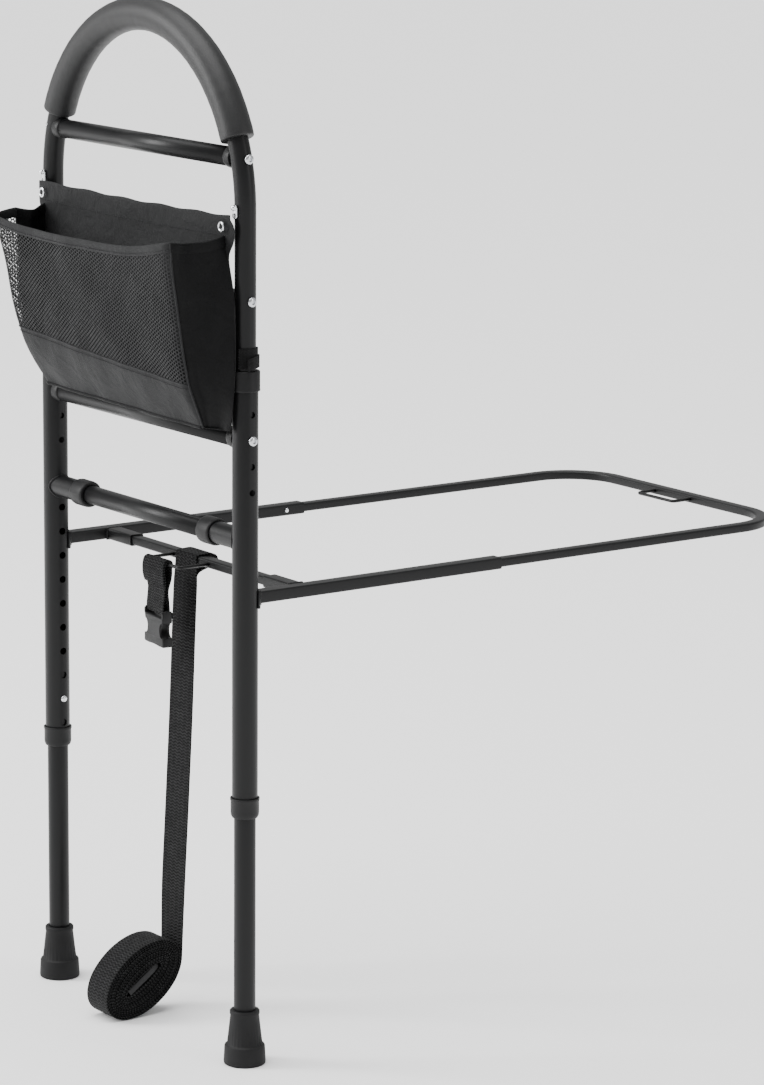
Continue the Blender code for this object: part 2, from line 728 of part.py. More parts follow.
def female_buckle():
    """Socket half: strap bar at the top, side windows, open mouth at the bottom."""
    half, deep = BUCKLE_WIDTH / 2, BUCKLE_DEPTH / 2
    top, bottom = BUCKLE_TOP - BED_Z, BUCKLE_TOP - BUCKLE_HEIGHT - BED_Z
    turn = Matrix.Rotation(math.radians(BUCKLE_TWIST), 4, "Z")
    mesh = boxes("female_buckle", [((-half, -deep, bottom), (half, deep, top))])
    mesh.transform(turn)
    piece = add_piece("female_buckle", mesh, "plastic", (BUCKLE_X, RING_FRONT, BED_Z))
    bevel = piece.modifiers.new("edges", "BEVEL")
    bevel.width = 0.0012
    bevel.segments = 1
    wide, bar_under = WEBBING_WIDTH / 2 + 0.0009, top - STRAP_BAR_HEIGHT
    bar = STRAP_BAR_DEPTH / 2
    mouth_low = (-half + 0.002, -deep + 0.0018, bottom - 0.01)
    mouth_high = (half - 0.002, deep - 0.0018, top - 0.0115)
    cuts = {
        "mouth": [(mouth_low, mouth_high)],
        "windows": [
            ((-half - 0.01, -deep + 0.0030, bottom + 0.010), (-half + 0.006, deep + 0.01, top - 0.014)),
            ((half - 0.006, -deep + 0.0030, bottom + 0.010), (half + 0.01, deep + 0.01, top - 0.014)),
        ],
        "strap_slot": [((-wide, -0.02, bar_under - 0.0064), (wide, 0.02, bar_under))],
        "bar_front": [((-wide, -0.02, bar_under - GAP), (wide, -bar, top + 0.01))],
        "bar_back": [((-wide, bar, bar_under - GAP), (wide, 0.02, top + 0.01))],
    }
    for name, blocks in cuts.items():
        tool = boxes(f"buckle_{name}", blocks)
        tool.transform(Matrix.Translation((BUCKLE_X, RING_FRONT, BED_Z)) @ turn)
        cut(piece, add_cutter(f"buckle_{name}", tool))


# Pouch --------------------------------------------------------------------------------------------


def pouch():
    """Open-topped fabric pouch: a tapering bag in front of a flat back panel with a raised hem."""
    levels = []
    for z, front, half in POUCH_SECTIONS:
        chamfer = min(0.010, (POUCH_BACK - front) * 0.4)
        levels.append(
            [
                (-half, POUCH_BACK, z),
                (-half, front + chamfer, z),
                (-half + chamfer, front, z),
                (half - chamfer, front, z),
                (half, front + chamfer, z),
                (half, POUCH_BACK, z),
            ]
        )
    points = [point for level in levels for point in level]
    points += [(-HEM_HALF_WIDTH, POUCH_BACK, HEM_TOP), (HEM_HALF_WIDTH, POUCH_BACK, HEM_TOP)]
    ring = len(levels[0])
    faces = [tuple(range(ring))]
    for level in range(len(levels) - 1):
        low, high = level * ring, (level + 1) * ring
        for i in range(ring):
            after = (i + 1) % ring
            faces.append((low + after, low + i, high + i, high + after))
    last = (len(levels) - 1) * ring
    faces.append((last, len(points) - 2, len(points) - 1, last + ring - 1))
    mesh = bpy.data.meshes.new("pouch")
    mesh.from_pydata(points, [], faces)
    bm = bmesh.new()
    bm.from_mesh(mesh)
    bmesh.ops.recalc_face_normals(bm, faces=bm.faces)
    bm.to_mesh(mesh)
    bm.free()
    thicken(add_piece("pouch", mesh, "nylon"), POUCH_WALL)


def pouch_fittings(side_name, side):
    """Eyelet on the hem, the chrome hanger on the handle tube, and the tie round the tube."""
    eyelet = [
        (0.0026, 0.0),
        (0.0026, 0.0006),
        (0.0030, 0.0011),
        (0.0048, 0.0011),
        (0.0052, 0.0006),
        (0.0052, 0.0),
    ]
    front = POUCH_BACK - POUCH_WALL - GAP
    place = (side * (HEM_HALF_WIDTH - 0.010), front, HEM_TOP - 0.0115)
    turned(f"{side_name}_eyelet", "chrome", eyelet, place, (90, 0, 0), steps=12)
    stem = TUBE_RADIUS + GAP
    plate = [
        (0.0, 0.0060),
        (0.0020, 0.0060),
        (0.0036, 0.0052),
        (0.0036, 0.0030),
        (0.0022, 0.0022),
        (0.0022, 0.0),
        (0.0, 0.0),
    ]
    location = (side * HALF_WIDTH, -stem, HANGER_Z + 0.004)
    turned(f"{side_name}_hanger", "chrome", plate, location, (90, 0, 0), closed=False, steps=10)
    ring = TUBE_RADIUS + 2 * GAP + 0.0008
    path = arc((0, 0), ring, -50, 230, 14) + [(-0.0070, POUCH_BACK + 0.0015), (0.0070, POUCH_BACK + 0.0015)]
    ribbon(
        f"{side_name}_pouch_tie",
        "webbing",
        [(x, y, 0) for x, y in path],
        TIE_WIDTH,
        0.0014,
        across=(0, 0, 1),
        closed=True,
        location=(side * HALF_WIDTH, 0, TIE_BOTTOM + TIE_WIDTH / 2),
    )


# Assembly -----------------------------------------------------------------------------------------

clear_scene()
parts = new_collection("bed_assist_rail")
cutters = new_collection("cutters")
floor_frame = bpy.data.objects.new("floor_frame", None)
parts.objects.link(floor_frame)
floor_frame.location = (0.0, -CROSS_Y, -(BED_Z - LOOP_HEIGHT / 2))

handle_space = add_cutter("handle_space", swept("handle_space", handle_path(0.58), TUBE_RADIUS + GAP))
upright_bars = []
for side in SIDES.values():
    x = side * HALF_WIDTH
    upright_bars.append(((x, 0, 0.25), (x, 0, 0.70), UPRIGHT_RADIUS + GAP))
upright_space = add_cutter("upright_space", cylinders("upright_space", upright_bars, 32))

for side_name, side in SIDES.items():
    x = side * HALF_WIDTH
    upright(side_name, side)
    lower_collar(side_name, side)
    upper_collar(side_name, side)
    lower_leg(side_name, side)
    rubber_tip(side_name, side)
    snap_button(f"{side_name}_leg_button", x, (0, LEG_HOLE_BASE), 0.0147, 0.0033, 0.0066, side)
    snap_spring(f"{side_name}_leg_spring", side, x, LEG_HOLE_BASE)
    pouch_fittings(side_name, side)

handle_tube()
foam_grip()
handle_bars(handle_space, upright_space)
spreader(upright_space)
bed_frame(
    section("rail_section", RAIL_WIDTH, RAIL_HEIGHT, SECTION_CORNER),
    section("loop_section", LOOP_WIDTH, LOOP_HEIGHT, SECTION_CORNER),
)
wire_ring("strap_ring", RING_LEFT, RING_RIGHT, CROSS_Y - LOOP_WIDTH / 2 - GAP, RING_FRONT)
wire_ring(
    "end_ring",
    END_RING_MIDDLE - 0.030,
    END_RING_MIDDLE + 0.030,
    LOOP_END - LOOP_WIDTH / 2 - GAP,
    LOOP_END - 0.031,
)
hanging_strap()
strap_roll()
male_buckle()
short_strap()
female_buckle()
pouch()
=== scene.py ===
import math

import bmesh
import bpy
import numpy as np
from mathutils import Matrix, Vector


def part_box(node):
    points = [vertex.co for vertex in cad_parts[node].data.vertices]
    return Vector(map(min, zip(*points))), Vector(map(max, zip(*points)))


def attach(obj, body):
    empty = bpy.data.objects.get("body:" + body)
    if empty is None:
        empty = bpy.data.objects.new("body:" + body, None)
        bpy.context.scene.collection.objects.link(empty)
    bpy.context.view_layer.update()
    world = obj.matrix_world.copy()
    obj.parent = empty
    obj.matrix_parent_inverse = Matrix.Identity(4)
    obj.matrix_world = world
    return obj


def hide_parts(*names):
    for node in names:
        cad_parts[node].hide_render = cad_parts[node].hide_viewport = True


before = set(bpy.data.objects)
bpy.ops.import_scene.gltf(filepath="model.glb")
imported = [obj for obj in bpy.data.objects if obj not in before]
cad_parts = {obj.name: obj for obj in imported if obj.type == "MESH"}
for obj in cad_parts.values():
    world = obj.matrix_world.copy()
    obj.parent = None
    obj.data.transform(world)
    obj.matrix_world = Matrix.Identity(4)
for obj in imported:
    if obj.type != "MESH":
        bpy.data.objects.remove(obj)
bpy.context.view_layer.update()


# Floor, light and camera --------------------------------------------------------------------------
# The rail stands by itself on a pale studio floor. A tall soft light at its front left draws the
# highlights on the tubes, and a broad overhead light keeps the floor even.

FLOOR_SIZE = 60.0
FLOOR_COLOUR = (0.93, 0.93, 0.93, 1.0)
CAMERA_PLACE = (3.5052, -2.3069, 0.8784)
CAMERA_HEADING = 0.9453
CAMERA_DIP = 0.2011
CAMERA_ROLL = 0.0075
CAMERA_LENS = 140.48

floor_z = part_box("left_rubber_tip")[0].z

floor_paint = bpy.data.materials.new("studio_floor")
floor_paint.use_nodes = True
nodes = floor_paint.node_tree.nodes
links = floor_paint.node_tree.links
floor_shader = nodes["Principled BSDF"]
floor_shader.label = "Matt pale floor"
floor_shader.inputs["Base Color"].default_value = FLOOR_COLOUR
floor_place = nodes.new("ShaderNodeTexCoord")
floor_place.label = "Place on the floor"
floor_grain = nodes.new("ShaderNodeTexNoise")
floor_grain.label = "Roller texture"
floor_grain.inputs["Scale"].default_value = 3.0
floor_gloss = nodes.new("ShaderNodeMapRange")
floor_gloss.label = "Soft, uneven sheen"
floor_gloss.inputs["To Min"].default_value = 0.75
floor_gloss.inputs["To Max"].default_value = 0.90
for step, node in enumerate((floor_place, floor_grain, floor_gloss)):
    node.location = (220 * step - 800, -150)
links.new(floor_place.outputs["Object"], floor_grain.inputs["Vector"])
links.new(floor_grain.outputs["Fac"], floor_gloss.inputs["Value"])
links.new(floor_gloss.outputs["Result"], floor_shader.inputs["Roughness"])

bpy.ops.mesh.primitive_plane_add(size=FLOOR_SIZE, location=(0, 0, floor_z))
floor = bpy.context.object
floor.name = "studio_floor"
floor.data.materials.append(floor_paint)

LIGHTS = (  # name, where it stands, what it looks at, width, height, watts
    ("key_light", (-2.6, -3.4, 1.9), (0.0, 0.0, 0.1), 1.4, 2.6, 230.0),
    ("edge_light", (3.6, 1.8, 1.4), (0.0, 0.2, 0.1), 0.8, 2.4, 26.0),
)
for name, place, target, width, height, watts in LIGHTS:
    lamp = bpy.data.lights.new(name, "AREA")
    lamp.shape = "RECTANGLE"
    lamp.size = width
    lamp.size_y = height
    lamp.energy = watts
    light = bpy.data.objects.new(name, lamp)
    bpy.context.collection.objects.link(light)
    aim = (Vector(target) - Vector(place)).to_track_quat("-Z", "Y")
    light.matrix_world = Matrix.Translation(place) @ aim.to_matrix().to_4x4()

OVERHEAD_STRENGTH = 4.2
OVERHEAD_SPREAD = math.radians(60)
SURROUND_STRENGTH = 0.62
overhead_lamp = bpy.data.lights.new("overhead_light", "SUN")
overhead_lamp.energy = OVERHEAD_STRENGTH
overhead_lamp.angle = OVERHEAD_SPREAD
overhead = bpy.data.objects.new("overhead_light", overhead_lamp)
bpy.context.collection.objects.link(overhead)
aim = Vector((0.10, 0.16, -1.0)).to_track_quat("-Z", "Y")
overhead.matrix_world = Matrix.Translation((-1.0, -1.4, 3.0)) @ aim.to_matrix().to_4x4()

world = bpy.data.worlds.new("studio")
world.use_nodes = True
surround = world.node_tree.nodes["Background"]
surround.inputs["Color"].default_value = (1.0, 1.0, 1.0, 1.0)
surround.inputs["Strength"].default_value = SURROUND_STRENGTH
bpy.context.scene.world = world

lens = bpy.data.cameras.new("camera")
lens.lens = CAMERA_LENS
lens.clip_end = 200.0
camera = bpy.data.objects.new("camera", lens)
bpy.context.collection.objects.link(camera)
heading = Matrix.Rotation(CAMERA_HEADING, 4, "Z")
dip = Matrix.Rotation(math.pi / 2 - CAMERA_DIP, 4, "X")
roll = Matrix.Rotation(CAMERA_ROLL, 4, "Z")
camera.matrix_world = Matrix.Translation(CAMERA_PLACE) @ heading @ dip @ roll
bpy.context.scene.camera = camera


# Upright tubes ------------------------------------------------------------------------------------
# Two round steel tubes, drilled in a row for the legs' snap buttons and right through for the
# handle's lower bolts, deburred and powder coated satin black.

COAT_BLACK = (0.0050, 0.0051, 0.0054, 1.0)
HOLE_PITCH = 0.0254
TUBE_WALL = 0.0012
LEG_HOLE = 0.0037
BOLT_HOLE = 0.0032
LEG_HOLES = range(-1, 9)
BOLT_HOLES = range(-2, 2)
SHARP_EDGE = math.radians(38)


def powder_coat(name, colour, satin):
    """Powder coat on steel: faint orange peel, and a gloss and tone that aren't quite even."""
    coat = bpy.data.materials.new(name)
    coat.use_nodes = True
    nodes = coat.node_tree.nodes
    links = coat.node_tree.links
    nodes.clear()

    peel_frame = nodes.new("NodeFrame")
    peel_frame.label = "Orange peel"
    tone_frame = nodes.new("NodeFrame")
    tone_frame.label = "Uneven tone and gloss"

    place = nodes.new("ShaderNodeTexCoord")
    place.label = "Place on the tube"
    peel = nodes.new("ShaderNodeTexNoise")
    peel.label = "Baked powder"
    peel.parent = peel_frame
    peel.inputs["Scale"].default_value = 900.0
    peel.inputs["Detail"].default_value = 2.0
    skin = nodes.new("ShaderNodeBump")
    skin.label = "Orange peel"
    skin.parent = peel_frame
    skin.inputs["Strength"].default_value = 0.18
    skin.inputs["Distance"].default_value = 0.0003
    drift = nodes.new("ShaderNodeTexNoise")
    drift.label = "Thickness of the coat"
    drift.parent = tone_frame
    drift.inputs["Scale"].default_value = 28.0
    drift.inputs["Detail"].default_value = 5.0
    tone = nodes.new("ShaderNodeValToRGB")
    tone.label = "Black, a little greyer where thin"
    tone.parent = tone_frame
    tone.color_ramp.elements[0].color = colour
    tone.color_ramp.elements[1].color = (*[1.35 * part for part in colour[:3]], 1.0)
    gloss = nodes.new("ShaderNodeMapRange")
    gloss.label = "Satin"
    gloss.parent = tone_frame
    gloss.inputs["To Min"].default_value = satin - 0.04
    gloss.inputs["To Max"].default_value = satin + 0.07
    paint = nodes.new("ShaderNodeBsdfPrincipled")
    paint.label = "Powder coat"
    paint.inputs["Specular IOR Level"].default_value = 0.20
    output = nodes.new("ShaderNodeOutputMaterial")
    output.label = "Coated steel"
    for step, node in enumerate((place, peel, drift, tone, gloss, skin, paint, output)):
        node.location = (230 * step, -160 * (step % 3))

    links.new(place.outputs["Object"], peel.inputs["Vector"])
    links.new(place.outputs["Object"], drift.inputs["Vector"])
    links.new(peel.outputs["Fac"], skin.inputs["Height"])
    links.new(drift.outputs["Fac"], tone.inputs["Fac"])
    links.new(drift.outputs["Fac"], gloss.inputs["Value"])
    links.new(tone.outputs["Color"], paint.inputs["Base Color"])
    links.new(gloss.outputs["Result"], paint.inputs["Roughness"])
    links.new(skin.outputs["Normal"], paint.inputs["Normal"])
    links.new(paint.outputs["BSDF"], output.inputs["Surface"])
    return coat


def settle(piece, place=Matrix()):
    """Applies a piece's modifiers and its place, and leaves a mesh at the origin."""
    bpy.context.view_layer.update()
    shown = piece.evaluated_get(bpy.context.evaluated_depsgraph_get())
    mesh = bpy.data.meshes.new_from_object(shown)
    mesh.transform(place)
    name = piece.name
    bpy.data.objects.remove(piece, do_unlink=True)
    settled = bpy.data.objects.new(name, mesh)
    bpy.context.collection.objects.link(settled)
    mesh.shade_smooth()
    mesh.set_sharp_from_angle(angle=SHARP_EDGE)
    return settled


def turned(name, profile, place, steps=64, edge=0.0, closed=True):
    """A profile of (radius, height), top to bottom down its outside, turned and put in place."""
    count = len(profile)
    edges = [(i, (i + 1) % count) for i in range(count if closed else count - 1)]
    mesh = bpy.data.meshes.new(name)
    mesh.from_pydata([(radius, 0.0, height) for radius, height in profile], edges, [])
    piece = bpy.data.objects.new(name, mesh)
    bpy.context.collection.objects.link(piece)
    turn = piece.modifiers.new("turned", "SCREW")
    turn.steps = steps
    turn.render_steps = steps
    turn.use_merge_vertices = True
    turn.merge_threshold = 0.00001
    if edge:
        eased = piece.modifiers.new("eased edges", "BEVEL")
        eased.width = edge
        eased.segments = 3
        eased.angle_limit = math.radians(35)
    return settle(piece, place)


def rods(name, runs, sides=24):
    """Straight round bars in one mesh, each from one point to another."""
    bm = bmesh.new()
    for start, end, radius in runs:
        start, end = Vector(start), Vector(end)
        turn = (end - start).to_track_quat("Z", "Y").to_matrix().to_4x4()
        bmesh.ops.create_cone(
            bm,
            cap_ends=True,
            segments=sides,
            radius1=radius,
            radius2=radius,
            depth=(end - start).length,
            matrix=Matrix.Translation((start + end) / 2) @ turn,
        )
    mesh = bpy.data.meshes.new(name)
    bm.to_mesh(mesh)
    bm.free()
    bars = bpy.data.objects.new(name, mesh)
    bpy.context.collection.objects.link(bars)
    return bars


def cut(piece, *tools, solver="EXACT"):
    """Takes the tools' shapes away from a piece, then removes the tools."""
    for tool in tools:
        less = piece.modifiers.new(tool.name, "BOOLEAN")
        less.object = tool
        less.solver = solver
    solid = settle(piece)
    for tool in tools:
        bpy.data.objects.remove(tool, do_unlink=True)
    return solid


def fit(piece, body, slot, material, *nodes):
    """Gives a piece its finish, fixes it to its body, and lets it stand for its CAD nodes."""
    piece.data.materials.clear()
    piece.data.materials.append(material)
    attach(piece, body)
    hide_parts(*nodes)


def middle_of(node):
    low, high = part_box(node)
    return (low + high) / 2


upright_coat = powder_coat("upright_powder_coat", COAT_BLACK, 0.36)
SIDES = {"left": -1, "right": 1}
for side, way in SIDES.items():
    low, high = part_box(f"{side}_upright_tube")
    axis = (low + high) / 2
    radius = (high.x - low.x) / 2
    bore = radius - TUBE_WALL
    profile = [(radius, high.z), (radius, low.z), (bore, low.z), (bore, high.z)]
    place = Matrix.Translation((axis.x, axis.y, 0))
    tube = turned(f"{side}_upright", profile, place, steps=72, edge=0.0004)
    inside = axis.x - 2 * radius * way
    outside = axis.x + 2 * radius * way
    button_z = middle_of(f"{side}_leg_button").z
    bolt_z = middle_of(f"lower_bar_{side}_bolt").z
    holes = []
    for step in LEG_HOLES:
        z = button_z + step * HOLE_PITCH
        holes.append(((inside, axis.y, z), (axis.x, axis.y, z), LEG_HOLE))
    for step in BOLT_HOLES:
        z = bolt_z + step * HOLE_PITCH
        holes.append(((inside, axis.y, z), (outside, axis.y, z), BOLT_HOLE))
    tube = cut(tube, rods(f"{side}_drill", holes))
    fit(tube, "uprights", "powder_coat", upright_coat, f"{side}_upright_tube")


# Collars on the uprights --------------------------------------------------------------------------
# Black moulded plastic guides pressed on the uprights' ends: the lower ones for the legs, with a
# raised lip at the top, the upper ones for the handle, with a thin bead at their lower edge.

PLASTIC_BLACK = (0.0066, 0.0067, 0.0070, 1.0)
SLIDE_RADIUS = 0.01105
GRIP_RADIUS = 0.0130


def moulded_plastic(name, colour, grain, roughness):
    """Moulded plastic: a fine spark-eroded grain, with slight flow marks in its gloss."""
    plastic = bpy.data.materials.new(name)
    plastic.use_nodes = True
    nodes = plastic.node_tree.nodes
    links = plastic.node_tree.links
    nodes.clear()

    grain_frame = nodes.new("NodeFrame")
    grain_frame.label = "Grain of the mould"
    flow_frame = nodes.new("NodeFrame")
    flow_frame.label = "Flow marks"

    place = nodes.new("ShaderNodeTexCoord")
    place.label = "Place on the moulding"
    pits = nodes.new("ShaderNodeTexVoronoi")
    pits.label = "Pits of the grain"
    pits.parent = grain_frame
    pits.inputs["Scale"].default_value = grain
    relief = nodes.new("ShaderNodeBump")
    relief.label = "Grain relief"
    relief.parent = grain_frame
    relief.inputs["Strength"].default_value = 0.25
    relief.inputs["Distance"].default_value = 0.0002
    flow = nodes.new("ShaderNodeTexNoise")
    flow.label = "Flow of the melt"
    flow.parent = flow_frame
    flow.inputs["Scale"].default_value = 90.0
    flow.inputs["Distortion"].default_value = 0.8
    shade = nodes.new("ShaderNodeValToRGB")
    shade.label = "Tone of the plastic"
    shade.parent = flow_frame
    shade.color_ramp.elements[0].color = colour
    shade.color_ramp.elements[1].color = (*[1.3 * part for part in colour[:3]], 1.0)
    gloss = nodes.new("ShaderNodeMapRange")
    gloss.label = "Dull and duller"
    gloss.parent = flow_frame
    gloss.inputs["To Min"].default_value = roughness - 0.05
    gloss.inputs["To Max"].default_value = roughness + 0.08
    body = nodes.new("ShaderNodeBsdfPrincipled")
    body.label = "Plastic"
    body.inputs["Specular IOR Level"].default_value = 0.22
    output = nodes.new("ShaderNodeOutputMaterial")
    output.label = "Moulding"
    for step, node in enumerate((place, pits, flow, shade, gloss, relief, body, output)):
        node.location = (230 * step, -160 * (step % 3))

    links.new(place.outputs["Object"], pits.inputs["Vector"])
    links.new(place.outputs["Object"], flow.inputs["Vector"])
    links.new(pits.outputs["Distance"], relief.inputs["Height"])
    links.new(flow.outputs["Fac"], shade.inputs["Fac"])
    links.new(flow.outputs["Fac"], gloss.inputs["Value"])
    links.new(shade.outputs["Color"], body.inputs["Base Color"])
    links.new(gloss.outputs["Result"], body.inputs["Roughness"])
    links.new(relief.outputs["Normal"], body.inputs["Normal"])
    links.new(body.outputs["BSDF"], output.inputs["Surface"])
    return plastic


collar_plastic = moulded_plastic("collar_plastic", PLASTIC_BLACK, 1600.0, 0.46)
for side in SIDES:
    tube_low, tube_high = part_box(f"{side}_upright_tube")
    low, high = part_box(f"{side}_lower_collar")
    axis = (low + high) / 2
    radius = (high.x - low.x) / 2
    place = Matrix.Translation((axis.x, axis.y, 0))
    profile = [
        (radius - 0.0002, high.z),
        (radius, high.z - 0.0004),
        (radius, high.z - 0.0024),
        (radius - 0.0005, high.z - 0.0032),
        (radius - 0.0005, low.z + 0.0050),
        (radius - 0.0008, low.z + 0.0025),
        (radius - 0.0020, low.z),
        (SLIDE_RADIUS, low.z),
        (SLIDE_RADIUS, tube_low.z - 0.0003),
        (GRIP_RADIUS, tube_low.z - 0.0003),
        (GRIP_RADIUS, high.z),
    ]
    collar = turned(f"{side}_lower_guide", profile, place, edge=0.0003)
    fit(collar, "uprights", "black_plastic", collar_plastic, f"{side}_lower_collar")

    low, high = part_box(f"{side}_upper_collar")
    radius = (high.x - low.x) / 2
    profile = [
        (radius - 0.0008, high.z),
        (radius - 0.0002, high.z - 0.0009),
        (radius - 0.0002, low.z + 0.0022),
        (radius, low.z + 0.0018),
        (radius, low.z + 0.0006),
        (radius - 0.0006, low.z),
        (GRIP_RADIUS, low.z),
        (GRIP_RADIUS, tube_high.z + 0.0003),
        (SLIDE_RADIUS, tube_high.z + 0.0003),
        (SLIDE_RADIUS, high.z),
    ]
    collar = turned(f"{side}_upper_guide", profile, place, edge=0.0003)
    fit(collar, "uprights", "black_plastic", collar_plastic, f"{side}_upper_collar")


# Legs, rubber tips and leg buttons ----------------------------------------------------------------
# Thinner steel tubes that slide in the uprights, each on a stepped rubber tip with short flutes
# over its step, and held at its height by a plated spring button through the upright's inner wall.

RUBBER_BLACK = (0.0075, 0.0075, 0.0078, 1.0)
CHROME_TONE = (0.78, 0.79, 0.81, 1.0)
SPRING_TONE = (0.42, 0.42, 0.43, 1.0)
LEG_BUTTON_RADIUS = 0.0034
TIP_FLUTES = 28
FLUTE_DEPTH = 0.00035
FLUTE_FROM = 0.0205
FLUTE_TO = 0.0300
TIP_SOLE = 0.0077
DOME = [math.radians(15 * step) for step in range(7)]


def rubber(name, colour):
    """Moulded rubber: matt, with a dusty bloom and fine mould texture."""
    material = bpy.data.materials.new(name)
    material.use_nodes = True
    nodes = material.node_tree.nodes
    links = material.node_tree.links
    nodes.clear()

    bloom_frame = nodes.new("NodeFrame")
    bloom_frame.label = "Dusty bloom"
    mould_frame = nodes.new("NodeFrame")
    mould_frame.label = "Mould texture"

    place = nodes.new("ShaderNodeTexCoord")
    place.label = "Place on the tip"
    dust = nodes.new("ShaderNodeTexNoise")
    dust.label = "Patches of bloom"
    dust.parent = bloom_frame
    dust.inputs["Scale"].default_value = 55.0
    dust.inputs["Detail"].default_value = 6.0
    shade = nodes.new("ShaderNodeValToRGB")
    shade.label = "Black to dusty grey"
    shade.parent = bloom_frame
    shade.color_ramp.elements[0].color = colour
    shade.color_ramp.elements[1].position = 0.85
    shade.color_ramp.elements[1].color = (*[1.7 * part for part in colour[:3]], 1.0)
    grit = nodes.new("ShaderNodeTexNoise")
    grit.label = "Grit of the mould"
    grit.parent = mould_frame
    grit.inputs["Scale"].default_value = 1400.0
    relief = nodes.new("ShaderNodeBump")
    relief.label = "Mould relief"
    relief.parent = mould_frame
    relief.inputs["Strength"].default_value = 0.30
    relief.inputs["Distance"].default_value = 0.0002
    body = nodes.new("ShaderNodeBsdfPrincipled")
    body.label = "Rubber"
    body.inputs["Specular IOR Level"].default_value = 0.18
    body.inputs["Roughness"].default_value = 0.62
    output = nodes.new("ShaderNodeOutputMaterial")
    output.label = "Rubber tip"
    for step, node in enumerate((place, dust, grit, shade, relief, body, output)):
        node.location = (230 * step, -160 * (step % 3))

    links.new(place.outputs["Object"], dust.inputs["Vector"])
    links.new(place.outputs["Object"], grit.inputs["Vector"])
    links.new(dust.outputs["Fac"], shade.inputs["Fac"])
    links.new(grit.outputs["Fac"], relief.inputs["Height"])
    links.new(shade.outputs["Color"], body.inputs["Base Color"])
    links.new(relief.outputs["Normal"], body.inputs["Normal"])
    links.new(body.outputs["BSDF"], output.inputs["Surface"])
    return material


def plated_steel(name, colour, polish, brushing):
    """Bright plated steel: faint polishing marks, a few cloudy patches."""
    material = bpy.data.materials.new(name)
    material.use_nodes = True
    nodes = material.node_tree.nodes
    links = material.node_tree.links
    nodes.clear()

    cloud_frame = nodes.new("NodeFrame")
    cloud_frame.label = "Cloudy plating"
    mark_frame = nodes.new("NodeFrame")
    mark_frame.label = "Polishing marks"

    place = nodes.new("ShaderNodeTexCoord")
    place.label = "Place on the fitting"
    cloud = nodes.new("ShaderNodeTexNoise")
    cloud.label = "Cloudy patches"
    cloud.parent = cloud_frame
    cloud.inputs["Scale"].default_value = 320.0
    cloud.inputs["Detail"].default_value = 4.0
    haze = nodes.new("ShaderNodeMapRange")
    haze.label = "Polish"
    haze.parent = cloud_frame
    haze.inputs["To Min"].default_value = polish
    haze.inputs["To Max"].default_value = polish + 0.14
    marks = nodes.new("ShaderNodeTexNoise")
    marks.label = "Marks of the wheel"
    marks.parent = mark_frame
    marks.inputs["Scale"].default_value = 2500.0
    relief = nodes.new("ShaderNodeBump")
    relief.label = "Depth of the marks"
    relief.parent = mark_frame
    relief.inputs["Strength"].default_value = brushing
    relief.inputs["Distance"].default_value = 0.0001
    metal = nodes.new("ShaderNodeBsdfPrincipled")
    metal.label = "Plating"
    metal.inputs["Base Color"].default_value = colour
    metal.inputs["Metallic"].default_value = 1.0
    output = nodes.new("ShaderNodeOutputMaterial")
    output.label = "Plated steel"
    for step, node in enumerate((place, cloud, marks, haze, relief, metal, output)):
        node.location = (230 * step, -160 * (step % 3))

    links.new(place.outputs["Object"], cloud.inputs["Vector"])
    links.new(place.outputs["Object"], marks.inputs["Vector"])
    links.new(cloud.outputs["Fac"], haze.inputs["Value"])
    links.new(marks.outputs["Fac"], relief.inputs["Height"])
    links.new(haze.outputs["Result"], metal.inputs["Roughness"])
    links.new(relief.outputs["Normal"], metal.inputs["Normal"])
    links.new(metal.outputs["BSDF"], output.inputs["Surface"])
    return material


def snap_button(name, node, radius, body):
    """A domed button that stands through the tube's inner wall, with a flange behind it."""
    low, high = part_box(node)
    centre = (low + high) / 2
    way = -1 if centre.x > 0 else 1
    length = high.x - low.x
    dome = [(radius * math.sin(a), length - 0.5 * radius * (1 - math.cos(a))) for a in DOME]
    profile = [*dome, (radius, 0.0012), (1.35 * radius, 0.0010), (1.35 * radius, 0.0), (0.0, 0.0)]
    base = low.x if way > 0 else high.x
    place = Matrix.Translation((base, centre.y, centre.z)) @ Matrix.Rotation(way * math.pi / 2, 4, "Y")
    button = turned(name, profile, place, steps=40, closed=False)
    fit(button, body, "chrome", button_chrome, node)


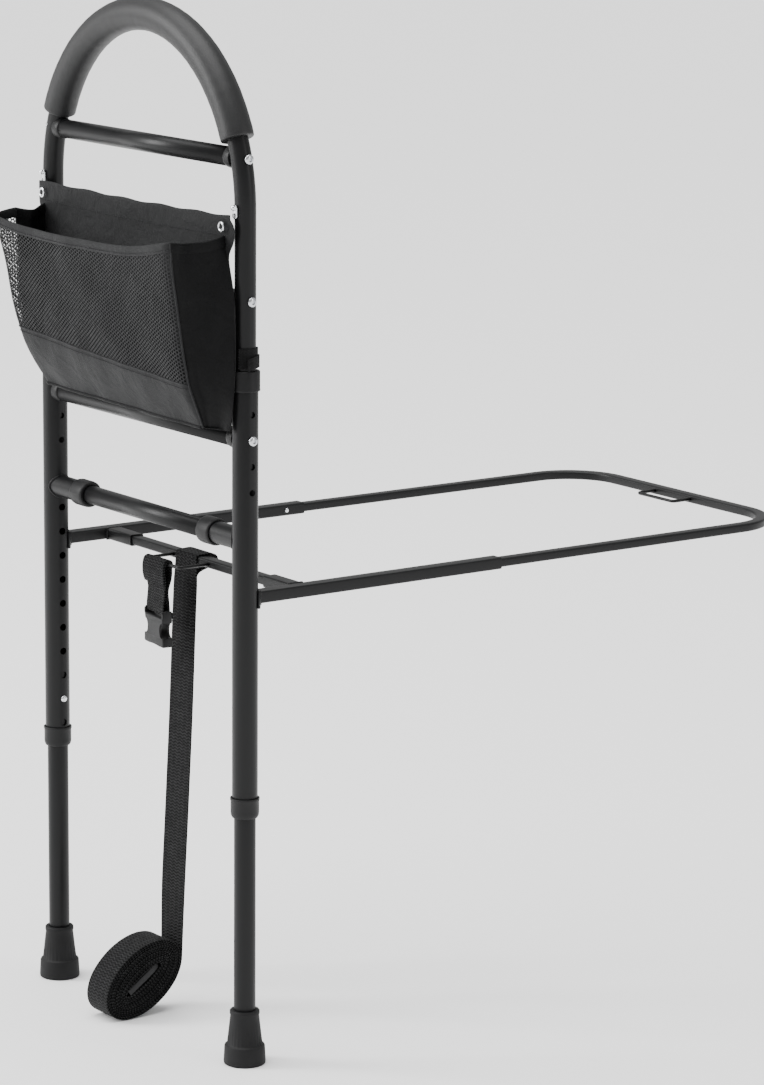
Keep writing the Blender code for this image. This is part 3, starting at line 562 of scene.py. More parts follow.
leg_coat = powder_coat("leg_powder_coat", COAT_BLACK, 0.38)
tip_rubber = rubber("tip_rubber", RUBBER_BLACK)
button_chrome = plated_steel("button_chrome", CHROME_TONE, 0.10, 0.05)
spring_steel = plated_steel("spring_steel", SPRING_TONE, 0.28, 0.20)
for side, way in SIDES.items():
    low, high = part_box(f"{side}_lower_leg")
    axis = (low + high) / 2
    radius = (high.x - low.x) / 2
    place = Matrix.Translation((axis.x, axis.y, 0))
    bore = radius - TUBE_WALL
    profile = [(radius, high.z), (radius, low.z), (bore, low.z), (bore, high.z)]
    leg = turned(f"{side}_leg_tube", profile, place, steps=64, edge=0.0003)
    button_z = middle_of(f"{side}_leg_button").z
    drill = ((axis.x - 0.02 * way, axis.y, button_z), (axis.x, axis.y, button_z), LEG_HOLE)
    leg = cut(leg, rods(f"{side}_leg_drill", [drill]))
    fit(leg, f"{side}_leg", "powder_coat", leg_coat, f"{side}_lower_leg")

    low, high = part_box(f"{side}_rubber_tip")
    base = (high.x - low.x) / 2
    profile = [
        (0.0, low.z + 0.0010),
        (0.0, low.z + TIP_SOLE),
        (SLIDE_RADIUS, low.z + TIP_SOLE),
        (SLIDE_RADIUS, high.z),
        (0.0142, high.z),
        (0.0148, high.z - 0.0008),
        (0.0149, high.z - 0.0036),
        (0.0143, high.z - 0.0050),
        (0.0151, high.z - 0.0120),
        (0.0161, high.z - 0.0210),
        (0.0176, low.z + 0.0212),
        (0.0184, low.z + 0.0199),
        (0.0196, low.z + 0.0193),
        (0.0202, low.z + 0.0180),
        (0.0206, low.z + 0.0100),
        (base, low.z + 0.0030),
        (base - 0.0003, low.z + 0.0008),
        (base - 0.0014, low.z),
        (0.0150, low.z),
        (0.0140, low.z + 0.0010),
        (0.0, low.z + 0.0010),
    ]
    tip = turned(f"{side}_foot", profile, place, steps=112, closed=False)
    for vertex in tip.data.vertices:
        height = vertex.co.z - low.z
        out = Vector((vertex.co.x - axis.x, vertex.co.y - axis.y, 0))
        if FLUTE_FROM < height < FLUTE_TO and out.length > SLIDE_RADIUS + 0.002:
            wave = math.cos(TIP_FLUTES * math.atan2(out.y, out.x))
            vertex.co -= out.normalized() * FLUTE_DEPTH * (1 + wave)
    fit(tip, f"{side}_leg", "rubber", tip_rubber, f"{side}_rubber_tip")

    snap_button(f"{side}_leg_snap", f"{side}_leg_button", LEG_BUTTON_RADIUS, f"{side}_leg_button")
    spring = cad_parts[f"{side}_leg_spring"]
    spring.data.materials.clear()
    spring.data.materials.append(spring_steel)


# Handle tube and foam grip ------------------------------------------------------------------------
# One steel tube bent to a half circle, its ends sliding in the uprights. A sleeve of closed-cell
# foam is pushed over the arch; it is slightly lumpy and its ends are cut square.

FOAM_GREY = (0.0080, 0.0081, 0.0084, 1.0)
ARCH_STEPS = 72
FOAM_END_ANGLE = 22.5
FOAM_STEPS = 120
FOAM_LUMP = 0.00008


def closed_cell_foam(name, colour):
    """Black foam sleeve: skinned cells, a soft sheen, and scuffs that look paler."""
    material = bpy.data.materials.new(name)
    material.use_nodes = True
    nodes = material.node_tree.nodes
    links = material.node_tree.links
    nodes.clear()

    cell_frame = nodes.new("NodeFrame")
    cell_frame.label = "Cells under the skin"
    scuff_frame = nodes.new("NodeFrame")
    scuff_frame.label = "Scuffs"

    place = nodes.new("ShaderNodeTexCoord")
    place.label = "Place on the grip"
    cells = nodes.new("ShaderNodeTexVoronoi")
    cells.label = "Cells"
    cells.parent = cell_frame
    cells.inputs["Scale"].default_value = 1100.0
    swell = nodes.new("ShaderNodeTexNoise")
    swell.label = "Swelling of the skin"
    swell.parent = cell_frame
    swell.inputs["Scale"].default_value = 240.0
    swell.inputs["Detail"].default_value = 3.0
    skin = nodes.new("ShaderNodeMath")
    skin.label = "Skin over cells"
    skin.parent = cell_frame
    skin.operation = "ADD"
    relief = nodes.new("ShaderNodeBump")
    relief.label = "Foam relief"
    relief.parent = cell_frame
    relief.inputs["Strength"].default_value = 0.35
    relief.inputs["Distance"].default_value = 0.0003
    scuffs = nodes.new("ShaderNodeTexNoise")
    scuffs.label = "Scuffed patches"
    scuffs.parent = scuff_frame
    scuffs.inputs["Scale"].default_value = 40.0
    scuffs.inputs["Detail"].default_value = 6.0
    shade = nodes.new("ShaderNodeValToRGB")
    shade.label = "Black to scuffed grey"
    shade.parent = scuff_frame
    shade.color_ramp.elements[0].color = colour
    shade.color_ramp.elements[1].color = (*[1.5 * part for part in colour[:3]], 1.0)
    foam = nodes.new("ShaderNodeBsdfPrincipled")
    foam.label = "Foam"
    foam.inputs["Specular IOR Level"].default_value = 0.34
    foam.inputs["Roughness"].default_value = 0.47
    foam.inputs["Sheen Weight"].default_value = 0.01
    foam.inputs["Sheen Roughness"].default_value = 0.45
    output = nodes.new("ShaderNodeOutputMaterial")
    output.label = "Foam grip"
    for step, node in enumerate((place, cells, swell, skin, scuffs, shade, relief, foam, output)):
        node.location = (230 * step, -160 * (step % 3))

    links.new(place.outputs["Object"], cells.inputs["Vector"])
    links.new(place.outputs["Object"], swell.inputs["Vector"])
    links.new(place.outputs["Object"], scuffs.inputs["Vector"])
    links.new(cells.outputs["Distance"], skin.inputs[0])
    links.new(swell.outputs["Fac"], skin.inputs[1])
    links.new(skin.outputs["Value"], relief.inputs["Height"])
    links.new(scuffs.outputs["Fac"], shade.inputs["Fac"])
    links.new(shade.outputs["Color"], foam.inputs["Base Color"])
    links.new(relief.outputs["Normal"], foam.inputs["Normal"])
    links.new(foam.outputs["BSDF"], output.inputs["Surface"])
    return material


def joined(piece):
    """Joins the doubled points of a mesh and turns its faces outwards."""
    bm = bmesh.new()
    bm.from_mesh(piece.data)
    bmesh.ops.remove_doubles(bm, verts=bm.verts, dist=0.000002)
    bmesh.ops.recalc_face_normals(bm, faces=bm.faces)
    bm.to_mesh(piece.data)
    bm.free()
    return piece


def drawn(name, path, radius, sides=32, swells=None, cyclic=False, profile=None, hollow=False):
    """The mesh of a round section, or of another profile, drawn along a path."""
    curve = bpy.data.curves.new(name, "CURVE")
    curve.dimensions = "3D"
    spline = curve.splines.new("POLY")
    spline.points.add(len(path) - 1)
    for index, point in enumerate(path):
        spline.points[index].co = (*point, 1.0)
        spline.points[index].radius = swells[index] if swells else 1.0
    spline.use_cyclic_u = cyclic
    curve.use_fill_caps = not hollow and not cyclic
    if profile:
        curve.twist_mode = "Z_UP"
        curve.bevel_mode = "OBJECT"
        curve.bevel_object = profile
    else:
        curve.bevel_depth = radius
        curve.bevel_resolution = sides // 2 - 2
    guide = bpy.data.objects.new(name, curve)
    bpy.context.collection.objects.link(guide)
    return joined(settle(guide))


def arc(centre, radius, start, end, steps):
    """Points on a circle in a plane, from one angle to another in degrees."""
    angles = [math.radians(start + (end - start) * i / steps) for i in range(steps + 1)]
    return [(centre[0] + radius * math.cos(a), centre[1] + radius * math.sin(a)) for a in angles]


handle_low, handle_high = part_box("handle_tube")
handle_radius = (handle_high.y - handle_low.y) / 2
arch_radius = middle_of("right_upright_tube").x
arch_y = (handle_low.y + handle_high.y) / 2
arch_z = handle_high.z - handle_radius - arch_radius


def arch_path(start, end, steps):
    return [(x, arch_y, z) for x, z in arc((0, arch_z), arch_radius, start, end, steps)]


handle_coat = powder_coat("handle_powder_coat", COAT_BLACK, 0.36)
handle_path = [(arch_radius, arch_y, handle_low.z)]
handle_path += arch_path(0, 180, ARCH_STEPS)
handle_path += [(-arch_radius, arch_y, handle_low.z)]
handle = drawn("arched_handle", handle_path, handle_radius, sides=40, hollow=True)
wall = handle.modifiers.new("tube wall", "SOLIDIFY")
wall.thickness = TUBE_WALL
handle = settle(handle)
fit(handle, "handle", "powder_coat", handle_coat, "handle_tube")

foam_radius = (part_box("foam_grip")[1].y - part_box("foam_grip")[0].y) / 2
foam_path = arch_path(FOAM_END_ANGLE, 180 - FOAM_END_ANGLE, FOAM_STEPS)
first, last = Vector(foam_path[0]), Vector(foam_path[-1])
step_in = [(Vector(foam_path[1]) - first).normalized(), (Vector(foam_path[-2]) - last).normalized()]
bore_share = (handle_radius + 0.0003) / foam_radius
ease = ((0.0, bore_share), (0.00001, 0.93), (0.0003, 0.965), (0.0008, 0.985), (0.0016, 0.995))
foam_points = [first + step_in[0] * along for along, _ in ease]
foam_swells = [share for _, share in ease]
for index, point in enumerate(foam_path[1:-1]):
    lump = math.sin(0.9 * index) * math.sin(0.37 * index + 1.0) + 0.5 * math.sin(1.7 * index)
    foam_points.append(Vector(point))
    foam_swells.append(1.0 + FOAM_LUMP / foam_radius * lump)
foam_points += [last + step_in[1] * along for along, _ in ease[::-1]]
foam_swells += [share for _, share in ease[::-1]]
grip = drawn("foam_sleeve", foam_points, foam_radius, sides=48, swells=foam_swells)
grip_foam = closed_cell_foam("grip_foam", FOAM_GREY)
fit(grip, "handle", "foam", grip_foam, "foam_grip")


# Cross bars, saddles and bolts --------------------------------------------------------------------
# Three steel tubes between the handle's legs. Each ends in a moulded saddle that is hollowed to
# the tube it bears on, and a plated button-head bolt comes through the tube into it.

BAR_RADIUS = 0.0095
SADDLE_RADIUS = 0.0107
HEAD_RADIUS = 0.0048
HEAD_HEIGHT = 0.0029
HEX_RADIUS = 0.0027
UPRIGHT_SPACE = 0.0130
BOLT_TONE = (0.60, 0.61, 0.63, 1.0)
bar_coat = powder_coat("bar_powder_coat", COAT_BLACK, 0.35)
saddle_plastic = moulded_plastic("saddle_plastic", PLASTIC_BLACK, 1500.0, 0.42)
bolt_chrome = plated_steel("bolt_chrome", BOLT_TONE, 0.12, 0.08)


def upright_post(side, z, radius):
    """A post where an upright stands, to cut away what would reach into it at a height."""
    axis = middle_of(f"{side}_upright_tube")
    return rods("post", [((axis.x, axis.y, z - 0.03), (axis.x, axis.y, z + 0.03), radius)], sides=72)


for row in ("top", "middle", "lower"):
    low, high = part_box(f"{row}_cross_bar")
    centre = (low + high) / 2
    bar_ends = [(low.x, centre.y, centre.z), (high.x, centre.y, centre.z)]
    bar = drawn(f"{row}_bar", bar_ends, BAR_RADIUS, sides=48)
    fit(bar, "handle", "powder_coat", bar_coat, f"{row}_cross_bar")
    for side, way in SIDES.items():
        saddle_low, saddle_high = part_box(f"{row}_bar_{side}_saddle")
        shoulder = high.x + 0.0003
        reach = max(abs(saddle_low.x), abs(saddle_high.x)) + 0.0005
        profile = [
            (SADDLE_RADIUS, reach),
            (SADDLE_RADIUS, shoulder + 0.0035),
            (SADDLE_RADIUS - 0.0003, shoulder + 0.0012),
            (SADDLE_RADIUS - 0.0009, shoulder),
            (0.0030, shoulder),
            (0.0030, reach),
        ]
        turn = Matrix.Rotation(way * math.pi / 2, 4, "Y")
        place = Matrix.Translation((0, centre.y, centre.z)) @ turn
        saddle = turned(f"{row}_{side}_saddle", profile, place, steps=56, edge=0.0002)
        if row == "lower":
            tool = upright_post(side, centre.z, UPRIGHT_SPACE)
        else:
            tool = drawn("seat", handle_path, handle_radius + 0.0003, sides=48)
        saddle = cut(saddle, tool)
        fit(saddle, "handle", "black_plastic", saddle_plastic, f"{row}_bar_{side}_saddle")

        bolt_low, bolt_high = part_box(f"{row}_bar_{side}_bolt")
        top = bolt_high.x if way > 0 else -bolt_low.x
        seat = top - HEAD_HEIGHT + 0.0002
        crown = [
            (HEAD_RADIUS * math.sin(a), seat + HEAD_HEIGHT * (0.35 + 0.65 * math.cos(a)))
            for a in DOME
        ]
        profile = [*crown, (HEAD_RADIUS - 0.0002, seat), (0.0, seat)]
        head = turned(f"{row}_{side}_bolt", profile, place, steps=48, closed=False)
        socket = ((way * (seat + 0.0008), centre.y, centre.z), (way * (top + 0.003), centre.y, centre.z))
        head = cut(head, rods("hex_key", [(*socket, HEX_RADIUS)], sides=6))
        fit(head, "handle", "chrome", bolt_chrome, f"{row}_bar_{side}_bolt")


# Telescopic spreader ------------------------------------------------------------------------------
# A stub is welded to each upright, and a thinner tube joins the two through moulded collars, so
# that the rail's two halves can be parted for packing.

STUB_RADIUS = 0.0111
UPRIGHT_RADIUS = 0.0127
WELD_RADIUS = 0.0012
WELD_RIPPLES = 56
spreader_coat = powder_coat("spreader_powder_coat", COAT_BLACK, 0.36)


def weld_bead(name, path):
    """A rippled bead of weld along a closed path, under the same powder coat."""
    swells = [1.0 + 0.14 * math.sin(2.6 * index) for index in range(len(path))]
    bead = drawn(name, path, WELD_RADIUS, sides=12, swells=swells, cyclic=True)
    fit(bead, "uprights", "powder_coat", spreader_coat)


for side, way in SIDES.items():
    upright = middle_of(f"{side}_upright_tube")
    low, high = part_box(f"{side}_spreader_stub")
    centre = (low + high) / 2
    near = high.x if way < 0 else low.x
    path = [(near, centre.y, centre.z), (upright.x, centre.y, centre.z)]
    stub = drawn(f"{side}_stub", path, STUB_RADIUS, sides=56, hollow=True)
    wall = stub.modifiers.new("tube wall", "SOLIDIFY")
    wall.thickness = TUBE_WALL
    stub = cut(stub, upright_post(side, centre.z, UPRIGHT_SPACE))
    fit(stub, "uprights", "powder_coat", spreader_coat, f"{side}_spreader_stub")

    bead = []
    for step in range(WELD_RIPPLES):
        turn = 2 * math.pi * step / WELD_RIPPLES
        y, z = (STUB_RADIUS + 0.0003) * math.cos(turn), (STUB_RADIUS + 0.0003) * math.sin(turn)
        x = upright.x - way * (math.sqrt(UPRIGHT_RADIUS**2 - y**2) + 0.0005)
        bead.append((x, centre.y + y, centre.z + z))
    weld_bead(f"{side}_stub_weld", bead)

    low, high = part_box(f"{side}_spreader_collar")
    centre = (low + high) / 2
    face = high.x if way < 0 else low.x
    profile = [
        (0.0125, 0.0220),
        (0.0133, 0.0212),
        (0.0137, 0.0190),
        (0.0137, 0.0040),
        (0.0134, 0.0016),
        (0.0124, 0.0),
        (0.0098, 0.0),
        (0.0098, 0.0027),
        (0.0114, 0.0027),
        (0.0114, 0.0220),
    ]
    place = Matrix.Translation((face, centre.y, centre.z)) @ Matrix.Rotation(way * math.pi / 2, 4, "Y")
    collar = turned(f"{side}_spreader_guide", profile, place, steps=64, edge=0.0003)
    fit(collar, "uprights", "black_plastic", collar_plastic, f"{side}_spreader_collar")

low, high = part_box("spreader_inner_tube")
centre = (low + high) / 2
inner_ends = [(low.x, centre.y, centre.z), (high.x, centre.y, centre.z)]
inner = drawn("spreader_inner", inner_ends, BAR_RADIUS, sides=56)
fit(inner, "uprights", "powder_coat", spreader_coat, "spreader_inner_tube")


# Bed frame ----------------------------------------------------------------------------------------
# Flat-sided steel tubes with rounded corners. The side tubes are welded to curved plates on the
# uprights; open stubs on them hold a thinner cross tube; a bent loop slides in their far ends.

LOOP_WALL = 0.0010
RAIL_CORNER = 0.0022
BRACKET_THICKNESS = 0.0022
LOOP_BEND = 0.062
BUTTON_HOLE = 0.0028
LOOP_BUTTON_RADIUS = 0.0024
LOOP_WIDTH = 0.013
WELD_POINTS = 10  # along each side of a square weld
SIDE_WELD = (0.0080, 0.0062)  # half the weld's width and height
SOCKET_WELD = (0.0081, 0.0055)
frame_coat = powder_coat("frame_powder_coat", COAT_BLACK, 0.37)


def flat_tube(name, path, width, height, thickness, tools=()):
    """A rounded rectangular tube along a path, with open ends."""
    outline = []
    for index, (x, y) in enumerate(((1, 1), (-1, 1), (-1, -1), (1, -1))):
        centre = (x * (width / 2 - RAIL_CORNER), y * (height / 2 - RAIL_CORNER))
        outline += arc(centre, RAIL_CORNER, 90 * index, 90 * index + 90, 5)
    curve = bpy.data.curves.new("section", "CURVE")
    curve.dimensions = "2D"
    spline = curve.splines.new("POLY")
    spline.points.add(len(outline) - 1)
    for point, (x, y) in zip(spline.points, outline):
        point.co = (x, y, 0.0, 1.0)
    spline.use_cyclic_u = True
    section = bpy.data.objects.new("section", curve)
    bpy.context.collection.objects.link(section)
    tube = drawn(name, path, 0.0, profile=section, hollow=True)
    bpy.data.objects.remove(section, do_unlink=True)
    wall = tube.modifiers.new("tube wall", "SOLIDIFY")
    wall.thickness = thickness
    return cut(tube, *tools)


loop_low, loop_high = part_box("bed_loop_tube")
cross_low, cross_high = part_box("cross_inner_tube")
bed_z = (loop_low.z + loop_high.z) / 2
cross_y = (cross_low.y + cross_high.y) / 2
corners = ((1, 1), (-1, 1), (-1, -1), (1, -1), (1, 1))
square = []  # points round a square, for the weld beads round the tubes' ends
for (a, b), (after_a, after_b) in zip(corners, corners[1:]):
    for step in range(WELD_POINTS):
        share = step / WELD_POINTS
        square.append((a + (after_a - a) * share, b + (after_b - b) * share))
for side, way in SIDES.items():
    upright = middle_of(f"{side}_upright_tube")
    low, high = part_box(f"{side}_bed_tube")
    button = middle_of(f"{side}_loop_button")
    path = [(upright.x, upright.y, bed_z), (upright.x, high.y, bed_z)]
    plate_reach = UPRIGHT_RADIUS + 0.0006 + BRACKET_THICKNESS
    button_hole = ((upright.x - 0.012 * way, button.y, bed_z), (upright.x, button.y, bed_z), BUTTON_HOLE)
    tools = [upright_post(side, bed_z, plate_reach), rods("button_hole", [button_hole])]
    rail = flat_tube(f"{side}_side_tube", path, high.x - low.x, high.z - low.z, TUBE_WALL, tools)
    fit(rail, "uprights", "powder_coat", frame_coat, f"{side}_bed_tube")

    low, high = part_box(f"{side}_weld_bracket")
    plate_radius = UPRIGHT_RADIUS + 0.0003 + BRACKET_THICKNESS / 2
    mesh = bpy.data.meshes.new(f"{side}_bracket")
    ring = arc((upright.x, upright.y), plate_radius, 36, 144, 24)
    points = [(x, y, z) for x, y in ring for z in (low.z, high.z)]
    faces = [(2 * i, 2 * i + 2, 2 * i + 3, 2 * i + 1) for i in range(len(ring) - 1)]
    mesh.from_pydata(points, [], faces)
    plate = bpy.data.objects.new(f"{side}_bracket", mesh)
    bpy.context.collection.objects.link(plate)
    wall = plate.modifiers.new("plate", "SOLIDIFY")
    wall.thickness = BRACKET_THICKNESS
    wall.offset = 0.0
    eased = plate.modifiers.new("eased edges", "BEVEL")
    eased.width = 0.0006
    eased.segments = 2
    plate = settle(plate)
    fit(plate, "uprights", "powder_coat", frame_coat, f"{side}_weld_bracket")
    edge_y = upright.y + plate_radius + 0.0008
    half_x, half_z = SIDE_WELD
    bead = []
    for x, z in square:
        droop = plate_radius - math.sqrt(plate_radius**2 - (half_x * x) ** 2)
        bead.append((upright.x + half_x * x, edge_y - droop, bed_z + half_z * z))
    weld_bead(f"{side}_side_tube_weld", bead)

    low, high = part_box(f"{side}_cross_stub")
    path = [(low.x, cross_y, bed_z), (high.x, cross_y, bed_z)]
    stub = flat_tube(f"{side}_cross_socket", path, high.y - low.y, high.z - low.z, TUBE_WALL)
    fit(stub, "uprights", "powder_coat", frame_coat, f"{side}_cross_stub")
    wall_x = (high.x if way > 0 else low.x) - 0.0003 * way
    half_y, half_z = SOCKET_WELD
    bead = [(wall_x, cross_y + half_y * y, bed_z + half_z * z) for y, z in square]
    weld_bead(f"{side}_cross_socket_weld", bead)
    snap_button(f"{side}_loop_snap", f"{side}_loop_button", LOOP_BUTTON_RADIUS, f"{side}_loop_button")

path = [(cross_low.x, cross_y, bed_z), (cross_high.x, cross_y, bed_z)]
cross = flat_tube("cross_tube", path, cross_high.y - cross_low.y, cross_high.z - cross_low.z, LOOP_WALL)
fit(cross, "uprights", "powder_coat", frame_coat, "cross_inner_tube")

loop_end = loop_high.y - LOOP_WIDTH / 2
near, far = arch_radius - LOOP_BEND, loop_end - LOOP_BEND
path = [(arch_radius, loop_low.y)]
path += arc((near, far), LOOP_BEND, 0, 90, 20)
path += arc((-near, far), LOOP_BEND, 90, 180, 20)
path += [(-arch_radius, loop_low.y)]
path = [(x, y, bed_z) for x, y in path]
button_holes = []
for side, way in SIDES.items():
    button = middle_of(f"{side}_loop_button")
    start = (way * (arch_radius - 0.012), button.y, bed_z)
    button_holes.append((start, (way * arch_radius, button.y, bed_z), BUTTON_HOLE))
drill = rods("loop_drill", button_holes)
loop = flat_tube("bed_loop", path, LOOP_WIDTH, loop_high.z - loop_low.z, LOOP_WALL, [drill])
fit(loop, "bed_loop", "powder_coat", frame_coat, "bed_loop_tube")


# Wire rings ---------------------------------------------------------------------------------------
# Steel wire bent to flat staples, their ends welded to the cross tube and to the loop's far bar;
# the strap is sewn to the first and passes through the second.

WIRE_RADIUS = 0.00175
WIRE_BEND = 0.0045
wire_coat = powder_coat("wire_powder_coat", COAT_BLACK, 0.34)
for node, body, name in (("strap_ring", "uprights", "strap_wire"), ("end_ring", "bed_loop", "end_wire")):
    low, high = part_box(node)
    left, right = low.x + WIRE_RADIUS, high.x - WIRE_RADIUS
    front = low.y + WIRE_RADIUS
    path = [(left, high.y)]
    path += arc((left + WIRE_BEND, front + WIRE_BEND), WIRE_BEND, 180, 270, 10)
    path += arc((right - WIRE_BEND, front + WIRE_BEND), WIRE_BEND, 270, 360, 10)
    path += [(right, high.y)]
    wire = drawn(name, [(x, y, bed_z) for x, y in path], WIRE_RADIUS, sides=24)
    fit(wire, body, "powder_coat", wire_coat, node)


# Securing strap -----------------------------------------------------------------------------------
# One length of woven polypropylene webbing: laid over the cross tube with its cut end folded down
# behind, hanging to the floor, and the rest wound flat into a roll round the buckle's plug half.

# The grey is a painted highlight on the crowns of the ribs, not a colour of the yarn.
WEBBING_BLACK = (0.0012, 0.0012, 0.0013, 1.0)
WEBBING_CROWN_HIGHLIGHT = (0.0370, 0.0373, 0.0381, 1.0)
WEBBING_WIDTH = 0.038
WEBBING_THICKNESS = 0.0013
ROLL_TURNS = 13
ROLL_TILT = math.radians(35)
ROLL_MAJOR = 0.0512
ROLL_MINOR = 0.0323
CORE_MAJOR = 0.0255
CORE_MINOR = 0.0046
TURN_STEPS = 64
STRAP_TWIST = math.radians(4.2)
UNTWIST_FROM = 0.33
FOLDED_ROWS = 40


def webbing(name, dark, light, rib):
    """Woven webbing: ribs across it and warp columns along it, read from its UV map in metres; the rib
    crowns carry a painted highlight over the black yarn.
    """
    material = bpy.data.materials.new(name)
    material.use_nodes = True
    nodes = material.node_tree.nodes
    links = material.node_tree.links
    nodes.clear()

    weave_frame = nodes.new("NodeFrame")
    weave_frame.label = "Ribs and warp"
    tone_frame = nodes.new("NodeFrame")
    tone_frame.label = "Yarn tone and painted crown highlight"

    cloth_map = nodes.new("ShaderNodeUVMap")
    cloth_map.label = "Metres across and along"
    cloth_map.uv_map = "cloth"
    cloth_map.parent = weave_frame
    split = nodes.new("ShaderNodeSeparateXYZ")
    split.label = "Across, along"
    split.parent = weave_frame
    across = nodes.new("ShaderNodeMath")
    across.label = "Warp columns"
    across.parent = weave_frame
    across.operation = "MULTIPLY"
    across.inputs[1].default_value = 2 * math.pi / (2.2 * rib)
    along = nodes.new("ShaderNodeMath")
    along.label = "Weft ribs"
    along.parent = weave_frame
    along.operation = "MULTIPLY"
    along.inputs[1].default_value = 2 * math.pi / rib
    warp = nodes.new("ShaderNodeMath")
    warp.label = "Warp crowns"
    warp.parent = weave_frame
    warp.operation = "SINE"
    shift = nodes.new("ShaderNodeMath")
    shift.label = "Staggered by the warp"
    shift.parent = weave_frame
    shift.operation = "MULTIPLY_ADD"
    shift.inputs[1].default_value = 1.2
    weft = nodes.new("ShaderNodeMath")
    weft.label = "Rib crowns"
    weft.parent = weave_frame
    weft.operation = "SINE"
    relief = nodes.new("ShaderNodeBump")
    relief.label = "Woven relief"
    relief.parent = weave_frame
    relief.inputs["Strength"].default_value = 0.85
    relief.inputs["Distance"].default_value = 0.0006
    height = nodes.new("ShaderNodeMapRange")
    height.label = "Crown to gap"
    height.parent = tone_frame
    height.inputs["From Min"].default_value = -1.0
    place = nodes.new("ShaderNodeTexCoord")
    place.label = "Place on the strap"
    place.parent = tone_frame
    # Noise that makes the painted crown highlight come and go in patches.
    fade = nodes.new("ShaderNodeTexNoise")
    fade.label = "Patchy painted crown highlight"
    fade.parent = tone_frame
    fade.inputs["Scale"].default_value = 120.0
    fade.inputs["Detail"].default_value = 4.0
    # The crowns times the patches: where the painted highlight lies.
    yarn = nodes.new("ShaderNodeMath")
    yarn.label = "Where the painted crown highlight lies"
    yarn.parent = tone_frame
    yarn.operation = "MULTIPLY"
    # Black yarn in the gaps, and the painted highlight (the pale colour) on the crowns.
    shade = nodes.new("ShaderNodeMix")
    shade.label = "Black yarn, painted highlight on the crowns"
    shade.parent = tone_frame
    shade.data_type = "RGBA"
    shade.inputs["A"].default_value = dark
    shade.inputs["B"].default_value = light
    body = nodes.new("ShaderNodeBsdfPrincipled")
    body.label = "Polypropylene yarn"
    body.inputs["Specular IOR Level"].default_value = 0.06
    body.inputs["Roughness"].default_value = 0.60
    body.inputs["Sheen Weight"].default_value = 0.02
    body.inputs["Sheen Roughness"].default_value = 0.5
    output = nodes.new("ShaderNodeOutputMaterial")
    output.label = "Webbing"
    chain = (cloth_map, split, across, along, warp, shift, weft, height, place, fade, yarn, shade)
    for step, node in enumerate((*chain, relief, body, output)):
        node.location = (220 * step, -160 * (step % 4))

    links.new(cloth_map.outputs["UV"], split.inputs["Vector"])
    links.new(split.outputs["X"], across.inputs[0])
    links.new(split.outputs["Y"], along.inputs[0])
    links.new(across.outputs["Value"], warp.inputs[0])
    links.new(warp.outputs["Value"], shift.inputs[0])
    links.new(along.outputs["Value"], shift.inputs[2])
    links.new(shift.outputs["Value"], weft.inputs[0])
    links.new(weft.outputs["Value"], relief.inputs["Height"])
    links.new(weft.outputs["Value"], height.inputs["Value"])
    links.new(place.outputs["Object"], fade.inputs["Vector"])
    links.new(height.outputs["Result"], yarn.inputs[0])
    links.new(fade.outputs["Fac"], yarn.inputs[1])
    links.new(yarn.outputs["Value"], shade.inputs["Factor"])
    links.new(shade.outputs["Result"], body.inputs["Base Color"])
    links.new(relief.outputs["Normal"], body.inputs["Normal"])
    links.new(body.outputs["BSDF"], output.inputs["Surface"])
    return material


def cloth(name, rows, closed=False):
    """A sheet through rows of points, with a UV map in metres across and along it."""
    rows = [[Vector(point) for point in row] for row in rows]
    width, count = len(rows[0]), len(rows)
    faces = []
    for r in range(count if closed else count - 1):
        low, high = r * width, (r + 1) % count * width
        faces += [(low + c, low + c + 1, high + c + 1, high + c) for c in range(width - 1)]
    mesh = bpy.data.meshes.new(name)
    mesh.from_pydata([point for row in rows for point in row], [], faces)
    spans = []
    for row in rows:
        steps = [0.0] + [(after - before).length for before, after in zip(row, row[1:])]
        spans.append(np.cumsum(steps) - sum(steps) / 2)
    column = [row[width // 2] for row in rows]
    column += column[:1]
    runs = np.cumsum([0.0] + [(after - before).length for before, after in zip(column, column[1:])])
    uv = mesh.uv_layers.new(name="cloth")
    for face, polygon in enumerate(mesh.polygons):
        r = face // (width - 1)
        for loop in polygon.loop_indices:
            index = mesh.loops[loop].vertex_index
            row_index, c = divmod(index, width)
            along = runs[r + 1] if row_index != r else runs[r]
            uv.data[loop].uv = (spans[row_index][c], along)
    sheet = bpy.data.objects.new(name, mesh)
    bpy.context.collection.objects.link(sheet)
    mesh.shade_smooth()
    return sheet


def thicken(sheet, thickness, edge=0.0, smooth=0, offset=0.0):
    """Gives a sheet its thickness, with rounded edges."""
    if smooth:
        fair = sheet.modifiers.new("smooth", "SUBSURF")
        fair.levels = smooth
        fair.render_levels = smooth
    wall = sheet.modifiers.new("thickness", "SOLIDIFY")
    wall.thickness = thickness
    wall.offset = offset
    if edge:
        eased = sheet.modifiers.new("rounded edges", "BEVEL")
        eased.width = edge
        eased.segments = 2
        eased.angle_limit = math.radians(60)
    return settle(sheet)


def smooth_through(points, per_span):
    """A smooth curve through points, sampled evenly in each span."""
    points = [Vector(point) for point in points]
    points = [2 * points[0] - points[1], *points, 2 * points[-1] - points[-2]]
    curve = []
    for a, b, c, d in zip(points, points[1:], points[2:], points[3:]):
        for step in range(per_span):
            t = step / per_span
            curve.append(
                0.5 * (2 * b + (c - a) * t + (2 * a - 5 * b + 4 * c - d) * t**2)
                + 0.5 * (3 * b - a - 3 * c + d) * t**3
            )
    curve.append(points[-2])
    return curve


roll_centre = middle_of("strap_roll")
ring_low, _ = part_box("strap_ring")


def roll_point(turn, major, minor):
    """A point of the roll's winding: an ellipse, tilted, seen along X."""
    p, q = major * math.cos(turn), minor * math.sin(turn)
    y = p * math.cos(ROLL_TILT) - q * math.sin(ROLL_TILT)
    z = p * math.sin(ROLL_TILT) + q * math.cos(ROLL_TILT)
    return Vector((0, roll_centre.y + y, roll_centre.z + z))


